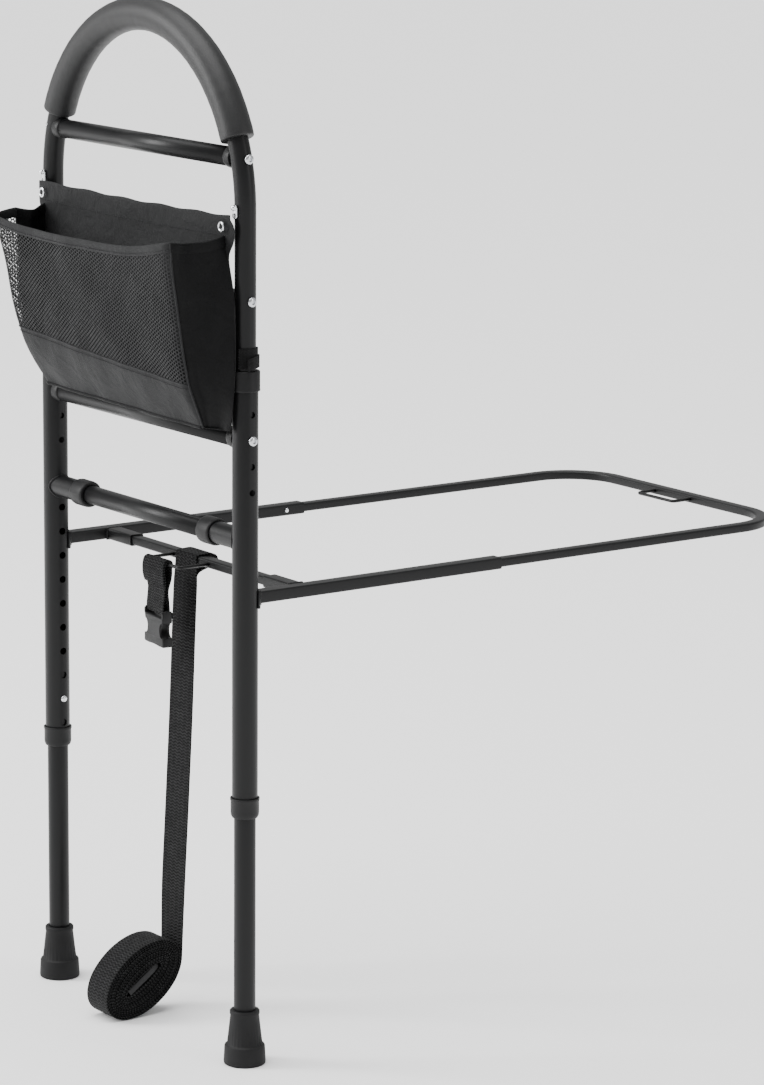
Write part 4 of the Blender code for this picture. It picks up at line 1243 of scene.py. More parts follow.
def strap_path():
    """The strap's middle line, from its folded end over the cross tube to the heart of the roll."""
    layer = WEBBING_THICKNESS / 2 + 0.0004
    top_z = cross_high.z + layer
    front_y = cross_low.y - layer
    back_y = cross_high.y + layer
    strap_x = roll_centre.x + 0.0060
    over = [
        (strap_x + 0.0010, cross_y - 0.0020, bed_z - 0.0230),
        (strap_x + 0.0020, cross_y + 0.0030, bed_z - 0.0150),
        (strap_x + 0.0036, back_y + 0.0030, bed_z - 0.0075),
        (strap_x + 0.0040, back_y + 0.0076, bed_z - 0.0008),
        (strap_x + 0.0036, back_y + 0.0062, bed_z + 0.0040),
        (strap_x + 0.0025, back_y + 0.0004, top_z + 0.0008),
        (strap_x + 0.0012, cross_y, top_z + 0.0003),
        (strap_x + 0.0004, front_y + 0.0020, top_z - 0.0002),
        (strap_x, front_y - 0.0002, bed_z + 0.0022),
        (strap_x, front_y - 0.0003, bed_z - 0.0080),
        (strap_x - 0.0004, front_y - 0.0025, bed_z - 0.060),
        (strap_x - 0.0014, front_y - 0.0060, bed_z - 0.160),
        (strap_x - 0.0032, front_y - 0.0100, bed_z - 0.260),
        (strap_x - 0.0050, front_y - 0.0135, bed_z - 0.345),
    ]
    start = -math.atan(ROLL_MINOR / ROLL_MAJOR * math.tan(ROLL_TILT))
    wound = []
    for step in range(ROLL_TURNS * TURN_STEPS + 1):
        turns = step / TURN_STEPS
        share = turns / ROLL_TURNS
        major = ROLL_MAJOR + (CORE_MAJOR - ROLL_MAJOR) * share
        minor = ROLL_MINOR + (CORE_MINOR - ROLL_MINOR) * share
        point = roll_point(start - 2 * math.pi * turns, major, minor)
        point.x = roll_centre.x + 0.0005 * math.sin(2.1 * turns) + 0.0003 * math.sin(5.3 * turns)
        wound.append(point)
    return smooth_through([*over, wound[0]], 7)[:-1] + wound


def eased(value, start, end):
    """Nought before start, one after end, and a smooth change between them."""
    share = min(max((value - start) / (end - start), 0.0), 1.0)
    return share * share * (3 - 2 * share)


path = strap_path()
rows = []
for index, point in enumerate(path):
    hanging = index < len(path) - ROLL_TURNS * TURN_STEPS
    fall = bed_z - point.z
    turn = STRAP_TWIST * eased(fall, -0.002, 0.030) * eased(fall, bed_z - roll_centre.z, UNTWIST_FROM)
    across = Matrix.Rotation(turn if hanging else 0.0, 3, "Z") @ Vector((1, 0, 0))
    right = left = WEBBING_WIDTH / 2
    if index < FOLDED_ROWS and fall > 0:
        right = WEBBING_WIDTH / 2 * (1.0 - 0.72 * eased(fall, 0.002, 0.016))
    span = [(-1.0, left), (-0.94, left), (-0.5, left), (0.0, left)]
    span += [(0.5, right), (0.94, right), (1.0, right)]
    rows.append([point + across * share * half for share, half in span])
strap_length = sum((after - before).length for before, after in zip(path, path[1:]))
strap_webbing = webbing("strap_webbing", WEBBING_BLACK, WEBBING_CROWN_HIGHLIGHT, 0.0033)
strap = thicken(cloth("securing_strap", rows), WEBBING_THICKNESS, edge=0.0003)
fit(strap, "uprights", "webbing", strap_webbing, "hanging_strap", "strap_roll")


# Buckle plug in the roll --------------------------------------------------------------------------
# The plug half of a moulded side-release buckle: a strap bar, a centre tongue and two spring arms.
# It lies at the heart of the roll, where only its side edge shows.

PLUG_GREY = (0.0100, 0.0101, 0.0105, 1.0)
plug_plastic = moulded_plastic("plug_plastic", PLUG_GREY, 1700.0, 0.40)


def plate(name, outlines, thickness, edge, place):
    """A flat moulding from its outline and the outlines of its holes, with rounded edges."""
    curve = bpy.data.curves.new(name, "CURVE")
    curve.dimensions = "2D"
    curve.fill_mode = "BOTH"
    curve.extrude = thickness / 2 - edge
    curve.bevel_depth = edge
    curve.bevel_resolution = 2
    curve.offset = -edge
    for outline in outlines:
        spline = curve.splines.new("POLY")
        spline.points.add(len(outline) - 1)
        for point, (x, y) in zip(spline.points, outline):
            point.co = (x, y, 0.0, 1.0)
        spline.use_cyclic_u = True
    flat = bpy.data.objects.new(name, curve)
    bpy.context.collection.objects.link(flat)
    return joined(settle(flat, place))


def rounded(left, right, bottom, top, radius, steps=5):
    """A rectangle with round corners, as an outline."""
    outline = arc((right - radius, top - radius), radius, 0, 90, steps)
    outline += arc((left + radius, top - radius), radius, 90, 180, steps)
    outline += arc((left + radius, bottom + radius), radius, 180, 270, steps)
    outline += arc((right - radius, bottom + radius), radius, 270, 360, steps)
    return outline


low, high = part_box("male_buckle")
centre = (low + high) / 2
half = (high.x - low.x) / 2
outer = [  # the right half, from the strap bar round the spring arm to the tongue's tip
    (half, -0.0215),
    (half, -0.004),
    (half, 0.010),
    (half - 0.001, 0.020),
    (half - 0.0045, 0.0235),
    (half - 0.0062, 0.019),
    (half - 0.0055, 0.010),
    (half - 0.0085, 0.000),
    (0.0030, 0.000),
    (0.0026, 0.019),
    (0.0, 0.0225),
]
outer += [(-x, y) for x, y in outer[-2::-1]]
bar_slot = rounded(-half + 0.0030, half - 0.0030, -0.0190, -0.0150, 0.0008)
other_slot = rounded(-half + 0.0030, half - 0.0030, -0.0110, -0.0070, 0.0008)
place = Matrix.Translation(centre) @ Matrix.Rotation(ROLL_TILT, 4, "X")
plug = plate("buckle_plug", [outer, bar_slot, other_slot], 0.0066, 0.0008, place)
fit(plug, "uprights", "black_plastic", plug_plastic, "male_buckle")


# Short strap and buckle socket --------------------------------------------------------------------
# A short loop of the same webbing, sewn round the ring's front wire, carries the buckle's socket
# half. Its overlap is stitched down in rows in front; the socket has a strap bar and side windows.

BUCKLE_TWIST = math.radians(-7)
THREAD_BLACK = (0.020, 0.020, 0.021, 1.0)
# The thread's grey is a painted highlight on its crowns.
THREAD_CROWN_HIGHLIGHT = (0.050, 0.050, 0.052, 1.0)
STITCH_LENGTH = 0.0026
STITCH_PITCH = 0.0036
THREAD_RADIUS = 0.00032
socket_low, socket_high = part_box("female_buckle")
wire_y = ring_low.y + WIRE_RADIUS
hang_x = (socket_low.x + socket_high.x) / 2
bar_z = socket_high.z - 0.0017


def hang(points):
    """Turns points of the hanging buckle about their line, from nothing at the wire down."""
    turned_points = []
    for x, y, z in points:
        turn = Matrix.Rotation(BUCKLE_TWIST * eased(bed_z - z, 0.014, 0.030), 3, "Z")
        turned_points.append(turn @ Vector((x, y, 0)) + Vector((hang_x, wire_y, z)))
    return turned_points


def stitches(name, points, body, thread):
    """A row of sewn stitches along a line on a sheet's face."""
    line = [Vector(point) for point in points]
    runs = []
    travelled, next_stitch = 0.0, 0.0
    for before, after in zip(line, line[1:]):
        length = (after - before).length
        while next_stitch < travelled + length:
            start = before + (after - before) * ((next_stitch - travelled) / length)
            runs.append((start, start + (after - before).normalized() * STITCH_LENGTH, THREAD_RADIUS))
            next_stitch += STITCH_PITCH
        travelled += length
    row = rods(name, runs, sides=6)
    fit(row, body, "webbing", thread)
    return row


reach = WIRE_RADIUS + WEBBING_THICKNESS / 2 + 0.0003
bar_drop = bed_z - bar_z
SHORT_STRAP_FRONT = (  # out from the wire's middle, down from it
    (0.0000, -reach),
    (-0.0026, -0.0018),
    (-0.0044, 0.0030),
    (-0.0046, 0.0100),
    (-0.0034, 0.0170),
    (-0.0022, 0.0230),
    (-0.0021, 0.0300),
    (-0.0030, bar_drop - 0.0100),
    (-0.0037, bar_drop - 0.0020),
    (-0.0028, bar_drop + 0.0024),
    (0.0000, bar_drop + 0.0037),
)
half_loop = [(0.0, y, bed_z - drop) for y, drop in SHORT_STRAP_FRONT]
other_half = [(0.0, -y * 0.86, z) for x, y, z in half_loop[-2:0:-1]]
loop_line = smooth_through([*half_loop, *other_half, half_loop[0]], 6)[:-1]
shares = (-1.0, -0.94, -0.5, 0.0, 0.5, 0.94, 1.0)
rows = [hang([(s * WEBBING_WIDTH / 2, y, z) for s in shares]) for _, y, z in loop_line]
short_webbing = webbing("short_strap_webbing", WEBBING_BLACK, WEBBING_CROWN_HIGHLIGHT, 0.0028)
short = thicken(cloth("buckle_strap", rows, closed=True), WEBBING_THICKNESS, edge=0.0003)
fit(short, "hanging_buckle", "webbing", short_webbing, "short_strap")
ring_line = [*loop_line, loop_line[0]]
loop_length = sum((after - before).length for before, after in zip(ring_line, ring_line[1:]))

LAP_LINE = (  # out from the wire's middle, down from it
    (0.0052, 0.0040),
    (0.0042, -0.0020),
    (0.0000, -reach - 0.0016),
    (-0.0042, -0.0026),
    (-0.0061, 0.0030),
    (-0.0064, 0.0100),
    (-0.0056, 0.0160),
    (-0.0045, 0.0215),
)
lap_line = smooth_through([(0.0, y, bed_z - drop) for y, drop in LAP_LINE], 5)
rows = [hang([(s * 1.01 * WEBBING_WIDTH / 2, y, z) for s in shares]) for _, y, z in lap_line]
lap = thicken(cloth("sewn_overlap", rows), WEBBING_THICKNESS, edge=0.0003)
fit(lap, "hanging_buckle", "webbing", short_webbing)
thread = webbing("sewing_thread", THREAD_BLACK, THREAD_CROWN_HIGHLIGHT, 0.0006)
for row, (face, drop) in enumerate(((-0.0072, 0.0085), (-0.0068, 0.0125), (-0.0057, 0.0190))):
    line = hang([(x, face, bed_z - drop) for x in (-0.0165, -0.006, 0.006, 0.0165)])
    stitches(f"overlap_stitches_{row}", line, "hanging_buckle", thread)

socket_plastic = moulded_plastic("socket_plastic", PLASTIC_BLACK, 1500.0, 0.38)
height = socket_high.z - socket_low.z
half, deep = 0.0215, 0.00575
centre_z = (socket_low.z + socket_high.z) / 2
place = Matrix.Translation((hang_x, wire_y, centre_z)) @ Matrix.Rotation(BUCKLE_TWIST, 4, "Z")
stand = place @ Matrix.Rotation(math.pi / 2, 4, "X")
top, bottom = height / 2, -height / 2
outline = [
    (half - 0.0034, top),
    (half - 0.0016, top - 0.0014),
    (half - 0.0008, top - 0.0050),
    (half - 0.0008, top - 0.0110),
    (half - 0.0022, top - 0.0150),
    (half - 0.0026, top - 0.0200),
    (half - 0.0016, bottom + 0.0110),
    (half, bottom + 0.0088),
    (half + 0.0003, bottom + 0.0016),
    (half - 0.0012, bottom + 0.0002),
    (0.012, bottom),
    (0.006, bottom + 0.0004),
    (0.0, bottom + 0.0006),
]
outline += [(-x, z) for x, z in outline[-2::-1]]
webbing_slot = rounded(-0.0197, 0.0197, top - 0.0076, top - 0.0034, 0.0010)
socket = plate("buckle_socket", [outline, webbing_slot], 2 * deep, 0.0014, stand)
mouth_line = rounded(-half + 0.0024, half - 0.0024, bottom - 0.02, top - 0.0125, 0.004)
tools = [plate("mouth", [mouth_line], 0.0076, 0.0010, stand)]
for way in (-1, 1):
    near, far = way * (half - 0.0082), way * (half + 0.0040)
    window = [
        (far, top - 0.0120),
        (near + 0.0030 * way, top - 0.0138),
        (near + 0.0008 * way, top - 0.0170),
        (near, top - 0.0205),
        (near + 0.0006 * way, bottom + 0.0135),
        (near + 0.0022 * way, bottom + 0.0108),
        (near + 0.0046 * way, bottom + 0.0095),
        (far, bottom + 0.0092),
    ]
    tools.append(plate(f"window_{way}", [window[::way]], 0.03, 0.0004, stand))
for way in (-1, 1):
    notch = rounded(-0.0192, 0.0192, top - 0.0066, top + 0.01, 0.0006)
    shift = Matrix.Translation((0, 0, 0.0081 * way))
    tools.append(plate(f"notch_{way}", [notch], 0.010, 0.0003, stand @ shift))
socket = cut(socket, *tools, solver="MANIFOLD")
fit(socket, "hanging_buckle", "black_plastic", socket_plastic, "female_buckle")


# Pouch panels -------------------------------------------------------------------------------------
# A sewn bag: a flat nylon back with a deep folded hem, plain side gussets, and a front of knitted
# mesh over a plain nylon band. It bellies forward at the top and runs in to a narrow bottom.

# A darker copy of the nylon for the gussets, the bottom and their tape and seam: painted shade on the
# sides and underside that turn away from the light.
NYLON_PAINTED_SHADE_DARK = (0.0016, 0.0016, 0.0018, 1.0)
NYLON_PAINTED_SHADE_PALE = (0.0052, 0.0053, 0.0056, 1.0)
# A cloth's tone runs from the darker to the paler of its pair as its crumples rise: painted shade in the
# creases, painted highlight on the rises.
BACK_GREY = (0.0110, 0.0112, 0.0116, 1.0)
BAND_GREY = (0.0150, 0.0152, 0.0157, 1.0)
MESH_GREY = (0.0310, 0.0313, 0.0320, 1.0)
NYLON_THICKNESS = 0.0009
YARN_THICKNESS = 0.0006
BAG_HALF = 0.1640
CORNER = 0.013
SIDE_TOP = (0.0270, 0.0245)
FRONT_SAG = 0.0130
SEAM_DROP = (0.1460, 0.1640)
BOTTOM_DROP = (0.2030, 0.2080)
BAG_DROP = 0.2080
BACK_SPREAD = (0.0030, 0.0160)
BACK_RETURN = 0.0060
HEM_END = 0.0065
WRAP = 0.025
SIDE_STEPS = 12
CORNER_STEPS = 10
FRONT_STEPS = 60
BACK_ROWS = 44
BACK_COLUMNS = 80
FRONT_COLUMNS = 110
MESH_PITCH = 0.0038
MESH_HOLE = 0.70
BAG_PROFILE = (  # drop below the hem's top, depth from back to front, how far the front narrows
    (0.000, 0.0640, 0.0000),
    (0.027, 0.0625, 0.0000),
    (0.051, 0.0602, 0.0012),
    (0.087, 0.0530, 0.0038),
    (0.128, 0.0453, 0.0061),
    (0.150, 0.0400, 0.0076),
    (0.165, 0.0358, 0.0092),
    (0.181, 0.0286, 0.0112),
    (0.193, 0.0215, 0.0145),
    (0.201, 0.0165, 0.0172),
    (0.208, 0.0130, 0.0190),
    (0.213, 0.0110, 0.0200),
)
pouch_low, pouch_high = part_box("pouch")
back_y = pouch_high.y
bag_profile = np.array(smooth_through(BAG_PROFILE, 8))


def nylon(name, dark, light, thread_pitch):
    """Coated plain-weave nylon: a fine weave from its UV map, soft creases and a dull sheen; the creases
    get painted shade and the raised crumples a painted highlight.
    """
    material = bpy.data.materials.new(name)
    material.use_nodes = True
    nodes = material.node_tree.nodes
    links = material.node_tree.links
    nodes.clear()

    weave_frame = nodes.new("NodeFrame")
    weave_frame.label = "Plain weave"
    crease_frame = nodes.new("NodeFrame")
    crease_frame.label = "Creases, painted shade and highlight"

    cloth_map = nodes.new("ShaderNodeUVMap")
    cloth_map.label = "Metres on the cloth"
    cloth_map.uv_map = "cloth"
    cloth_map.parent = weave_frame
    split = nodes.new("ShaderNodeSeparateXYZ")
    split.label = "Weft, warp"
    split.parent = weave_frame
    weft = nodes.new("ShaderNodeMath")
    weft.label = "Weft threads"
    weft.parent = weave_frame
    weft.operation = "MULTIPLY"
    weft.inputs[1].default_value = 2 * math.pi / thread_pitch
    warp = nodes.new("ShaderNodeMath")
    warp.label = "Warp threads"
    warp.parent = weave_frame
    warp.operation = "MULTIPLY"
    warp.inputs[1].default_value = 2 * math.pi / thread_pitch
    weft_wave = nodes.new("ShaderNodeMath")
    weft_wave.label = "Over and under, weft"
    weft_wave.parent = weave_frame
    weft_wave.operation = "SINE"
    warp_wave = nodes.new("ShaderNodeMath")
    warp_wave.label = "Over and under, warp"
    warp_wave.parent = weave_frame
    warp_wave.operation = "SINE"
    weave = nodes.new("ShaderNodeMath")
    weave.label = "Weave"
    weave.parent = weave_frame
    weave.operation = "MULTIPLY"
    fine = nodes.new("ShaderNodeBump")
    fine.label = "Thread relief"
    fine.parent = weave_frame
    fine.inputs["Strength"].default_value = 0.25
    fine.inputs["Distance"].default_value = 0.0002
    place = nodes.new("ShaderNodeTexCoord")
    place.label = "Place on the pouch"
    place.parent = crease_frame
    crumple = nodes.new("ShaderNodeTexNoise")
    crumple.label = "Crumples"
    crumple.parent = crease_frame
    crumple.inputs["Scale"].default_value = 38.0
    crumple.inputs["Detail"].default_value = 5.0
    crumple.inputs["Distortion"].default_value = 1.2
    crease = nodes.new("ShaderNodeBump")
    crease.label = "Crumpled relief"
    crease.parent = crease_frame
    crease.inputs["Strength"].default_value = 0.45
    crease.inputs["Distance"].default_value = 0.004
    # The crumples' height picks the colour: painted shade in the creases, painted highlight on the rises.
    shade = nodes.new("ShaderNodeMix")
    shade.label = "Painted shade in creases, painted highlight on crumples"
    shade.parent = crease_frame
    shade.data_type = "RGBA"
    shade.inputs["A"].default_value = dark
    shade.inputs["B"].default_value = light
    body = nodes.new("ShaderNodeBsdfPrincipled")
    body.label = "Nylon"
    body.inputs["Specular IOR Level"].default_value = 0.10
    body.inputs["Roughness"].default_value = 0.58
    body.inputs["Sheen Weight"].default_value = 0.02
    body.inputs["Sheen Roughness"].default_value = 0.4
    output = nodes.new("ShaderNodeOutputMaterial")
    output.label = "Pouch cloth"
    chain = (cloth_map, split, weft, warp, weft_wave, warp_wave, weave, place, crumple, shade)
    for step, node in enumerate((*chain, crease, fine, body, output)):
        node.location = (220 * step, -160 * (step % 4))

    links.new(cloth_map.outputs["UV"], split.inputs["Vector"])
    links.new(split.outputs["X"], weft.inputs[0])
    links.new(split.outputs["Y"], warp.inputs[0])
    links.new(weft.outputs["Value"], weft_wave.inputs[0])
    links.new(warp.outputs["Value"], warp_wave.inputs[0])
    links.new(weft_wave.outputs["Value"], weave.inputs[0])
    links.new(warp_wave.outputs["Value"], weave.inputs[1])
    links.new(weave.outputs["Value"], fine.inputs["Height"])
    links.new(place.outputs["Object"], crumple.inputs["Vector"])
    links.new(crumple.outputs["Fac"], crease.inputs["Height"])
    links.new(crumple.outputs["Fac"], shade.inputs["Factor"])
    links.new(crease.outputs["Normal"], fine.inputs["Normal"])
    links.new(shade.outputs["Result"], body.inputs["Base Color"])
    links.new(fine.outputs["Normal"], body.inputs["Normal"])
    links.new(body.outputs["BSDF"], output.inputs["Surface"])
    return material


def between(ends, share):
    """A value that runs from its left one to its right one."""
    return ends[0] + (ends[1] - ends[0]) * share


def back_reach(drop, share):
    """How far the back reaches out: it spreads, more on the right, and draws in at the foot."""
    spread = BACK_SPREAD[share > 0.5] * eased(drop, 0.020, 0.090)
    return BAG_HALF + 0.0010 + spread - BACK_RETURN * (drop / BAG_DROP) ** 8


def bag_line(drop):
    """The bag's outline at a drop below the hem's top, from its left back edge round to the right."""
    depth = float(np.interp(drop, bag_profile[:, 0], bag_profile[:, 1]))
    half = BAG_HALF - float(np.interp(drop, bag_profile[:, 0], bag_profile[:, 2]))
    back_left, back_right = back_reach(drop, 0), back_reach(drop, 1)
    radius = min(CORNER, 0.45 * depth)
    front = back_y - depth
    side = depth - radius
    line = []
    for i in range(SIDE_STEPS):
        along = i / SIDE_STEPS
        line.append((-back_left + (back_left - half) * along, back_y - side * along))
    line += arc((-half + radius, front + radius), radius, 180, 270, CORNER_STEPS)
    for i in range(1, FRONT_STEPS):
        line.append((-half + radius + (2 * half - 2 * radius) * i / FRONT_STEPS, front))
    line += arc((half - radius, front + radius), radius, 270, 360, CORNER_STEPS)
    for i in range(1, SIDE_STEPS + 1):
        along = i / SIDE_STEPS
        line.append((half + (back_right - half) * along, front + radius + side * along))
    corners = [math.hypot(side, reach - half) + radius * math.pi / 4 for reach in (back_left, back_right)]
    return np.array(line), corners


def folds(along, drop, side):
    """How far the cloth stands off its plain surface: soft folds that fade towards the seams."""
    if side:
        pleat = math.exp(-(((along - 0.5) / 0.26) ** 2)) * math.exp(-(((drop - 0.060) / 0.075) ** 2))
        crease = 0.0012 * math.sin(9 * along + 60 * drop) * math.sin(38 * drop)
        return -0.0075 * pleat + crease
    hang_fold = 0.0011 * math.sin(13 * along + 1.3) * math.sin(16 * drop + 0.4)
    diagonal = 0.0006 * math.sin(22 * along - 44 * drop) + 0.0003 * math.sin(47 * along + 95 * drop)
    belly = 0.0035 * math.sin(math.pi * along) * math.exp(-(((drop - 0.125) / 0.05) ** 2))
    edge = min(1.0, 14 * along, 14 * (1 - along))
    return (hang_fold + diagonal) * edge + belly


def bag_point(panel, share, drop):
    """A point of a panel: share runs from its left seam to its right one."""
    line, (left_corner, right_corner) = bag_line(drop)
    steps = np.hypot(*np.diff(line, axis=0).T)
    run = np.concatenate([[0.0], np.cumsum(steps)])
    total = run[-1]
    wrap = WRAP * min(1.0, left_corner / 0.05) * (1 - 0.6 * eased(drop, 0.04, 0.14))
    limits = {
        "left": (0.0, left_corner - wrap),
        "front": (left_corner - wrap, total - right_corner),
        "right": (total - right_corner, total),
    }[panel]
    at = limits[0] + (limits[1] - limits[0]) * share
    x, y = np.interp(at, run, line[:, 0]), np.interp(at, run, line[:, 1])
    ahead_x = np.interp(at + 0.002, run, line[:, 0]) - np.interp(at - 0.002, run, line[:, 0])
    ahead_y = np.interp(at + 0.002, run, line[:, 1]) - np.interp(at - 0.002, run, line[:, 1])
    outward = Vector((ahead_y, -ahead_x, 0)).normalized()
    if panel == "front":
        lift = folds(share, drop, False)
        lowered = between(BOTTOM_DROP, share) / BAG_DROP
    else:
        toward_back = share if panel == "right" else 1 - share
        lift = folds(toward_back, drop, True)
        lowered = BOTTOM_DROP[1 if panel == "right" else 0] / BAG_DROP
    return Vector((x, y, pouch_high.z - drop * lowered)) + outward * lift, outward


def top_drop(panel, share):
    """How far the open top edge of a panel lies below the hem's top."""
    if panel == "front":
        return between(SIDE_TOP, share) + FRONT_SAG * (1 - (2 * share - 1) ** 4) ** 1.5
    toward_back = share if panel == "right" else 1 - share
    level = SIDE_TOP[1 if panel == "right" else 0]
    return level - 0.0030 * toward_back + 0.004 * math.sin(math.pi * toward_back)


def panel_rows(panel, seam, rows, columns):
    """Rows of points on a panel, from its top edge or the band's seam to the bottom."""
    grid = []
    for r in range(rows + 1):
        row = []
        for c in range(columns + 1):
            share = c / columns
            first = between(SEAM_DROP, share) if seam else top_drop(panel, share)
            drop = first + (BAG_DROP - first) * r / rows
            row.append(bag_point(panel, share, drop)[0])
        grid.append(row)
    return grid


back_nylon = nylon("pouch_back_nylon", BACK_GREY, BAND_GREY, 0.0007)
# The gussets' and bottom's nylon is a darker copy of the same cloth: painted shade.
painted_shade_nylon = nylon("pouch_nylon_painted_shade", NYLON_PAINTED_SHADE_DARK, NYLON_PAINTED_SHADE_PALE, 0.0007)
band_nylon = nylon("pouch_band_nylon", BACK_GREY, BAND_GREY, 0.0007)

hem_half = (pouch_high.x - pouch_low.x) / 2


def wrinkle(x, drop):
    """How far the back's wrinkles stand off its plain sheet."""
    return 0.0012 * math.sin(31 * x + 42 * drop) * math.sin(21 * drop + 9 * x)


def hem_sag(x):
    """How far the hem sags between its eyelets."""
    return 0.0022 * math.cos(math.pi * x / (2 * hem_half))


rows = []
for r in range(BACK_ROWS + 1):
    drop = BAG_DROP * r / BACK_ROWS
    tab = 1 / (1 + math.exp((drop - 0.033) / 0.004))
    row = []
    for c in range(BACK_COLUMNS + 1):
        share = c / BACK_COLUMNS
        hem = hem_half + (HEM_END * eased(drop, 0.004, 0.012) if share > 0.5 else 0.0)
        half = back_reach(drop, share) * (1 - tab) + hem * tab
        x = half * (2 * share - 1)
        sag = hem_sag(x) * (1 - drop / BAG_DROP)
        lowered = between(BOTTOM_DROP, share) / BAG_DROP
        ripple = 0.0007 * math.sin(x * 95) * math.exp(-drop / 0.02)
        z = pouch_high.z - drop * lowered - sag - ripple
        row.append((x, back_y + 0.0001 + wrinkle(x, drop), z))
    rows.append(row)
back = thicken(cloth("pouch_back", rows), NYLON_THICKNESS, edge=0.0002)
fit(back, "handle", "nylon", back_nylon, "pouch")


def sewn(piece, cover):
    """Fits a piece to the handle as a part of the pouch."""
    fit(piece, "handle", "nylon", cover)


for panel in ("left", "right"):
    rows = panel_rows(panel, False, 60, 24)
    sewn(thicken(cloth(f"pouch_{panel}_gusset", rows), NYLON_THICKNESS), painted_shade_nylon)
rows = panel_rows("front", True, 26, FRONT_COLUMNS)
sewn(thicken(cloth("pouch_band", rows), NYLON_THICKNESS), band_nylon)

rows = []
for c in range(FRONT_COLUMNS + 1):
    share = c / FRONT_COLUMNS
    front = bag_point("front", share, BAG_DROP)[0]
    rear_x = back_reach(BAG_DROP, share) * (2 * share - 1)
    rear = Vector((rear_x, back_y - 0.0006, pouch_high.z - between(BOTTOM_DROP, share)))
    rows.append([front + (rear - front) * step / 4 for step in range(5)])
sewn(thicken(cloth("pouch_bottom", rows), NYLON_THICKNESS), painted_shade_nylon)


# Knitted mesh front -------------------------------------------------------------------------------
# Warp-knitted polyester mesh with staggered six-sided holes, stiff enough to keep the belly.


def mesh_cells():
    """Six-sided cells in staggered columns, between the front's top edge and the band's seam."""
    middle_line, corners = bag_line(0.08)
    width = np.hypot(*np.diff(middle_line, axis=0).T).sum() - sum(corners) + WRAP
    stride = MESH_PITCH * math.sqrt(3) / 2
    side = MESH_PITCH / math.sqrt(3)
    cells = []
    for c in range(int(width / stride)):
        for r in range(int(max(SEAM_DROP) / MESH_PITCH) + 1):
            u = (c + 0.5) * stride
            v = (r + 0.5 * (c % 2)) * MESH_PITCH
            share = min(u / width, 1.0)
            if top_drop("front", share) + 0.001 < v < between(SEAM_DROP, share) + 0.001:
                angles = [math.radians(60 * k) for k in range(6)]
                cells.append([(u + side * math.cos(a), v + side * math.sin(a)) for a in angles])
    return cells, width


def knitted_mesh(name):
    cells, width = mesh_cells()
    bm = bmesh.new()
    placed = {}
    for corners in cells:
        ring = []
        for u, v in corners:
            key = (round(u * 20000), round(v * 20000))
            if key not in placed:
                share = min(max(u / width, 0.0), 1.0)
                point = bag_point("front", share, v)[0]
                placed[key] = bm.verts.new(point)
            ring.append(placed[key])
        if len(set(ring)) == 6:
            bm.faces.new(ring)
    bmesh.ops.recalc_face_normals(bm, faces=bm.faces)
    inset = MESH_PITCH / 2 * (1 - MESH_HOLE)
    holes = list(bm.faces)
    bmesh.ops.inset_individual(bm, faces=holes, thickness=inset, use_even_offset=True)
    bmesh.ops.delete(bm, geom=holes, context="FACES")
    mesh = bpy.data.meshes.new(name)
    bm.to_mesh(mesh)
    bm.free()
    uv = mesh.uv_layers.new(name="cloth")
    for loop in mesh.loops:
        point = mesh.vertices[loop.vertex_index].co
        uv.data[loop.index].uv = (point.x, point.z)
    knit = bpy.data.objects.new(name, mesh)
    bpy.context.collection.objects.link(knit)
    return thicken(knit, YARN_THICKNESS)


mesh_yarn = nylon("mesh_yarn", BACK_GREY, MESH_GREY, 0.0009)
sewn(knitted_mesh("pouch_mesh"), mesh_yarn)


# Bindings, piping and stitching of the pouch ------------------------------------------------------
# Folded nylon tape binds the open top, corded seams run down the front corners and along the
# band, and lockstitch rows hold the hem and the tape.

TAPE_DROP = 0.0085
TAPE_STITCHES = 0.0062
BAND_STITCHES = 0.0045
HEM_STITCHES = 0.0195
STITCH_STEPS = 120
TAPE_THICKNESS = 0.0007
PIPING_RADIUS = 0.0011
PIPING_STEPS = 69
BAND_SEAM_RADIUS = 0.0009
BOTTOM_SEAM_RADIUS = 0.0019
TAPE_GREY = (0.0210, 0.0213, 0.0220, 1.0)
tape_nylon = nylon("binding_tape", BACK_GREY, TAPE_GREY, 0.0010)
# The side tape is a darker copy of the binding tape: painted shade.
painted_shade_tape = nylon("binding_tape_painted_shade", NYLON_PAINTED_SHADE_DARK, NYLON_PAINTED_SHADE_PALE, 0.0010)
TAPE_FOLD = ((1.3, 0.0), (1.5, 0.9), (1.1, 1.05), (0.0, 1.14), (-1.1, 1.05), (-1.5, 0.9), (-1.3, 0.0))


def binding(name, panel, columns, cover):
    """Tape folded over a panel's top edge, from its outer face to its inner one."""
    rows = []
    for c in range(columns + 1):
        share = c / columns
        drop = top_drop(panel, share)
        low, outward = bag_point(panel, share, drop + TAPE_DROP)
        high, _ = bag_point(panel, share, drop)
        row = []
        for out, up in TAPE_FOLD:
            row.append(low + (high - low) * up + outward * out * TAPE_THICKNESS)
        rows.append(row)
    sewn(thicken(cloth(name, rows), TAPE_THICKNESS, edge=0.0001), cover)


binding("left_binding", "left", 24, painted_shade_tape)
binding("right_binding", "right", 24, painted_shade_tape)
binding("front_binding", "front", 120, tape_nylon)

for side, share in (("left", 0.0), ("right", 1.0)):
    seam = []
    top = top_drop("front", share)
    for step in range(PIPING_STEPS + 1):
        drop = top + (BAG_DROP - top) * step / PIPING_STEPS
        point, outward = bag_point("front", share, drop)
        seam.append(point + outward * 0.0010)
    sewn(drawn(f"{side}_piping", seam, PIPING_RADIUS, sides=12), tape_nylon)

front_shares = [c / FRONT_COLUMNS for c in range(FRONT_COLUMNS + 1)]
seam = [bag_point("front", share, between(SEAM_DROP, share)) for share in front_shares]
seam = [point + outward * 0.0003 for point, outward in seam]
sewn(drawn("band_seam", seam, BAND_SEAM_RADIUS, sides=10), tape_nylon)

bottom = [bag_point("front", share, BAG_DROP)[0] for share in front_shares]
sewn(drawn("bottom_seam", bottom, BOTTOM_SEAM_RADIUS, sides=12), painted_shade_tape)

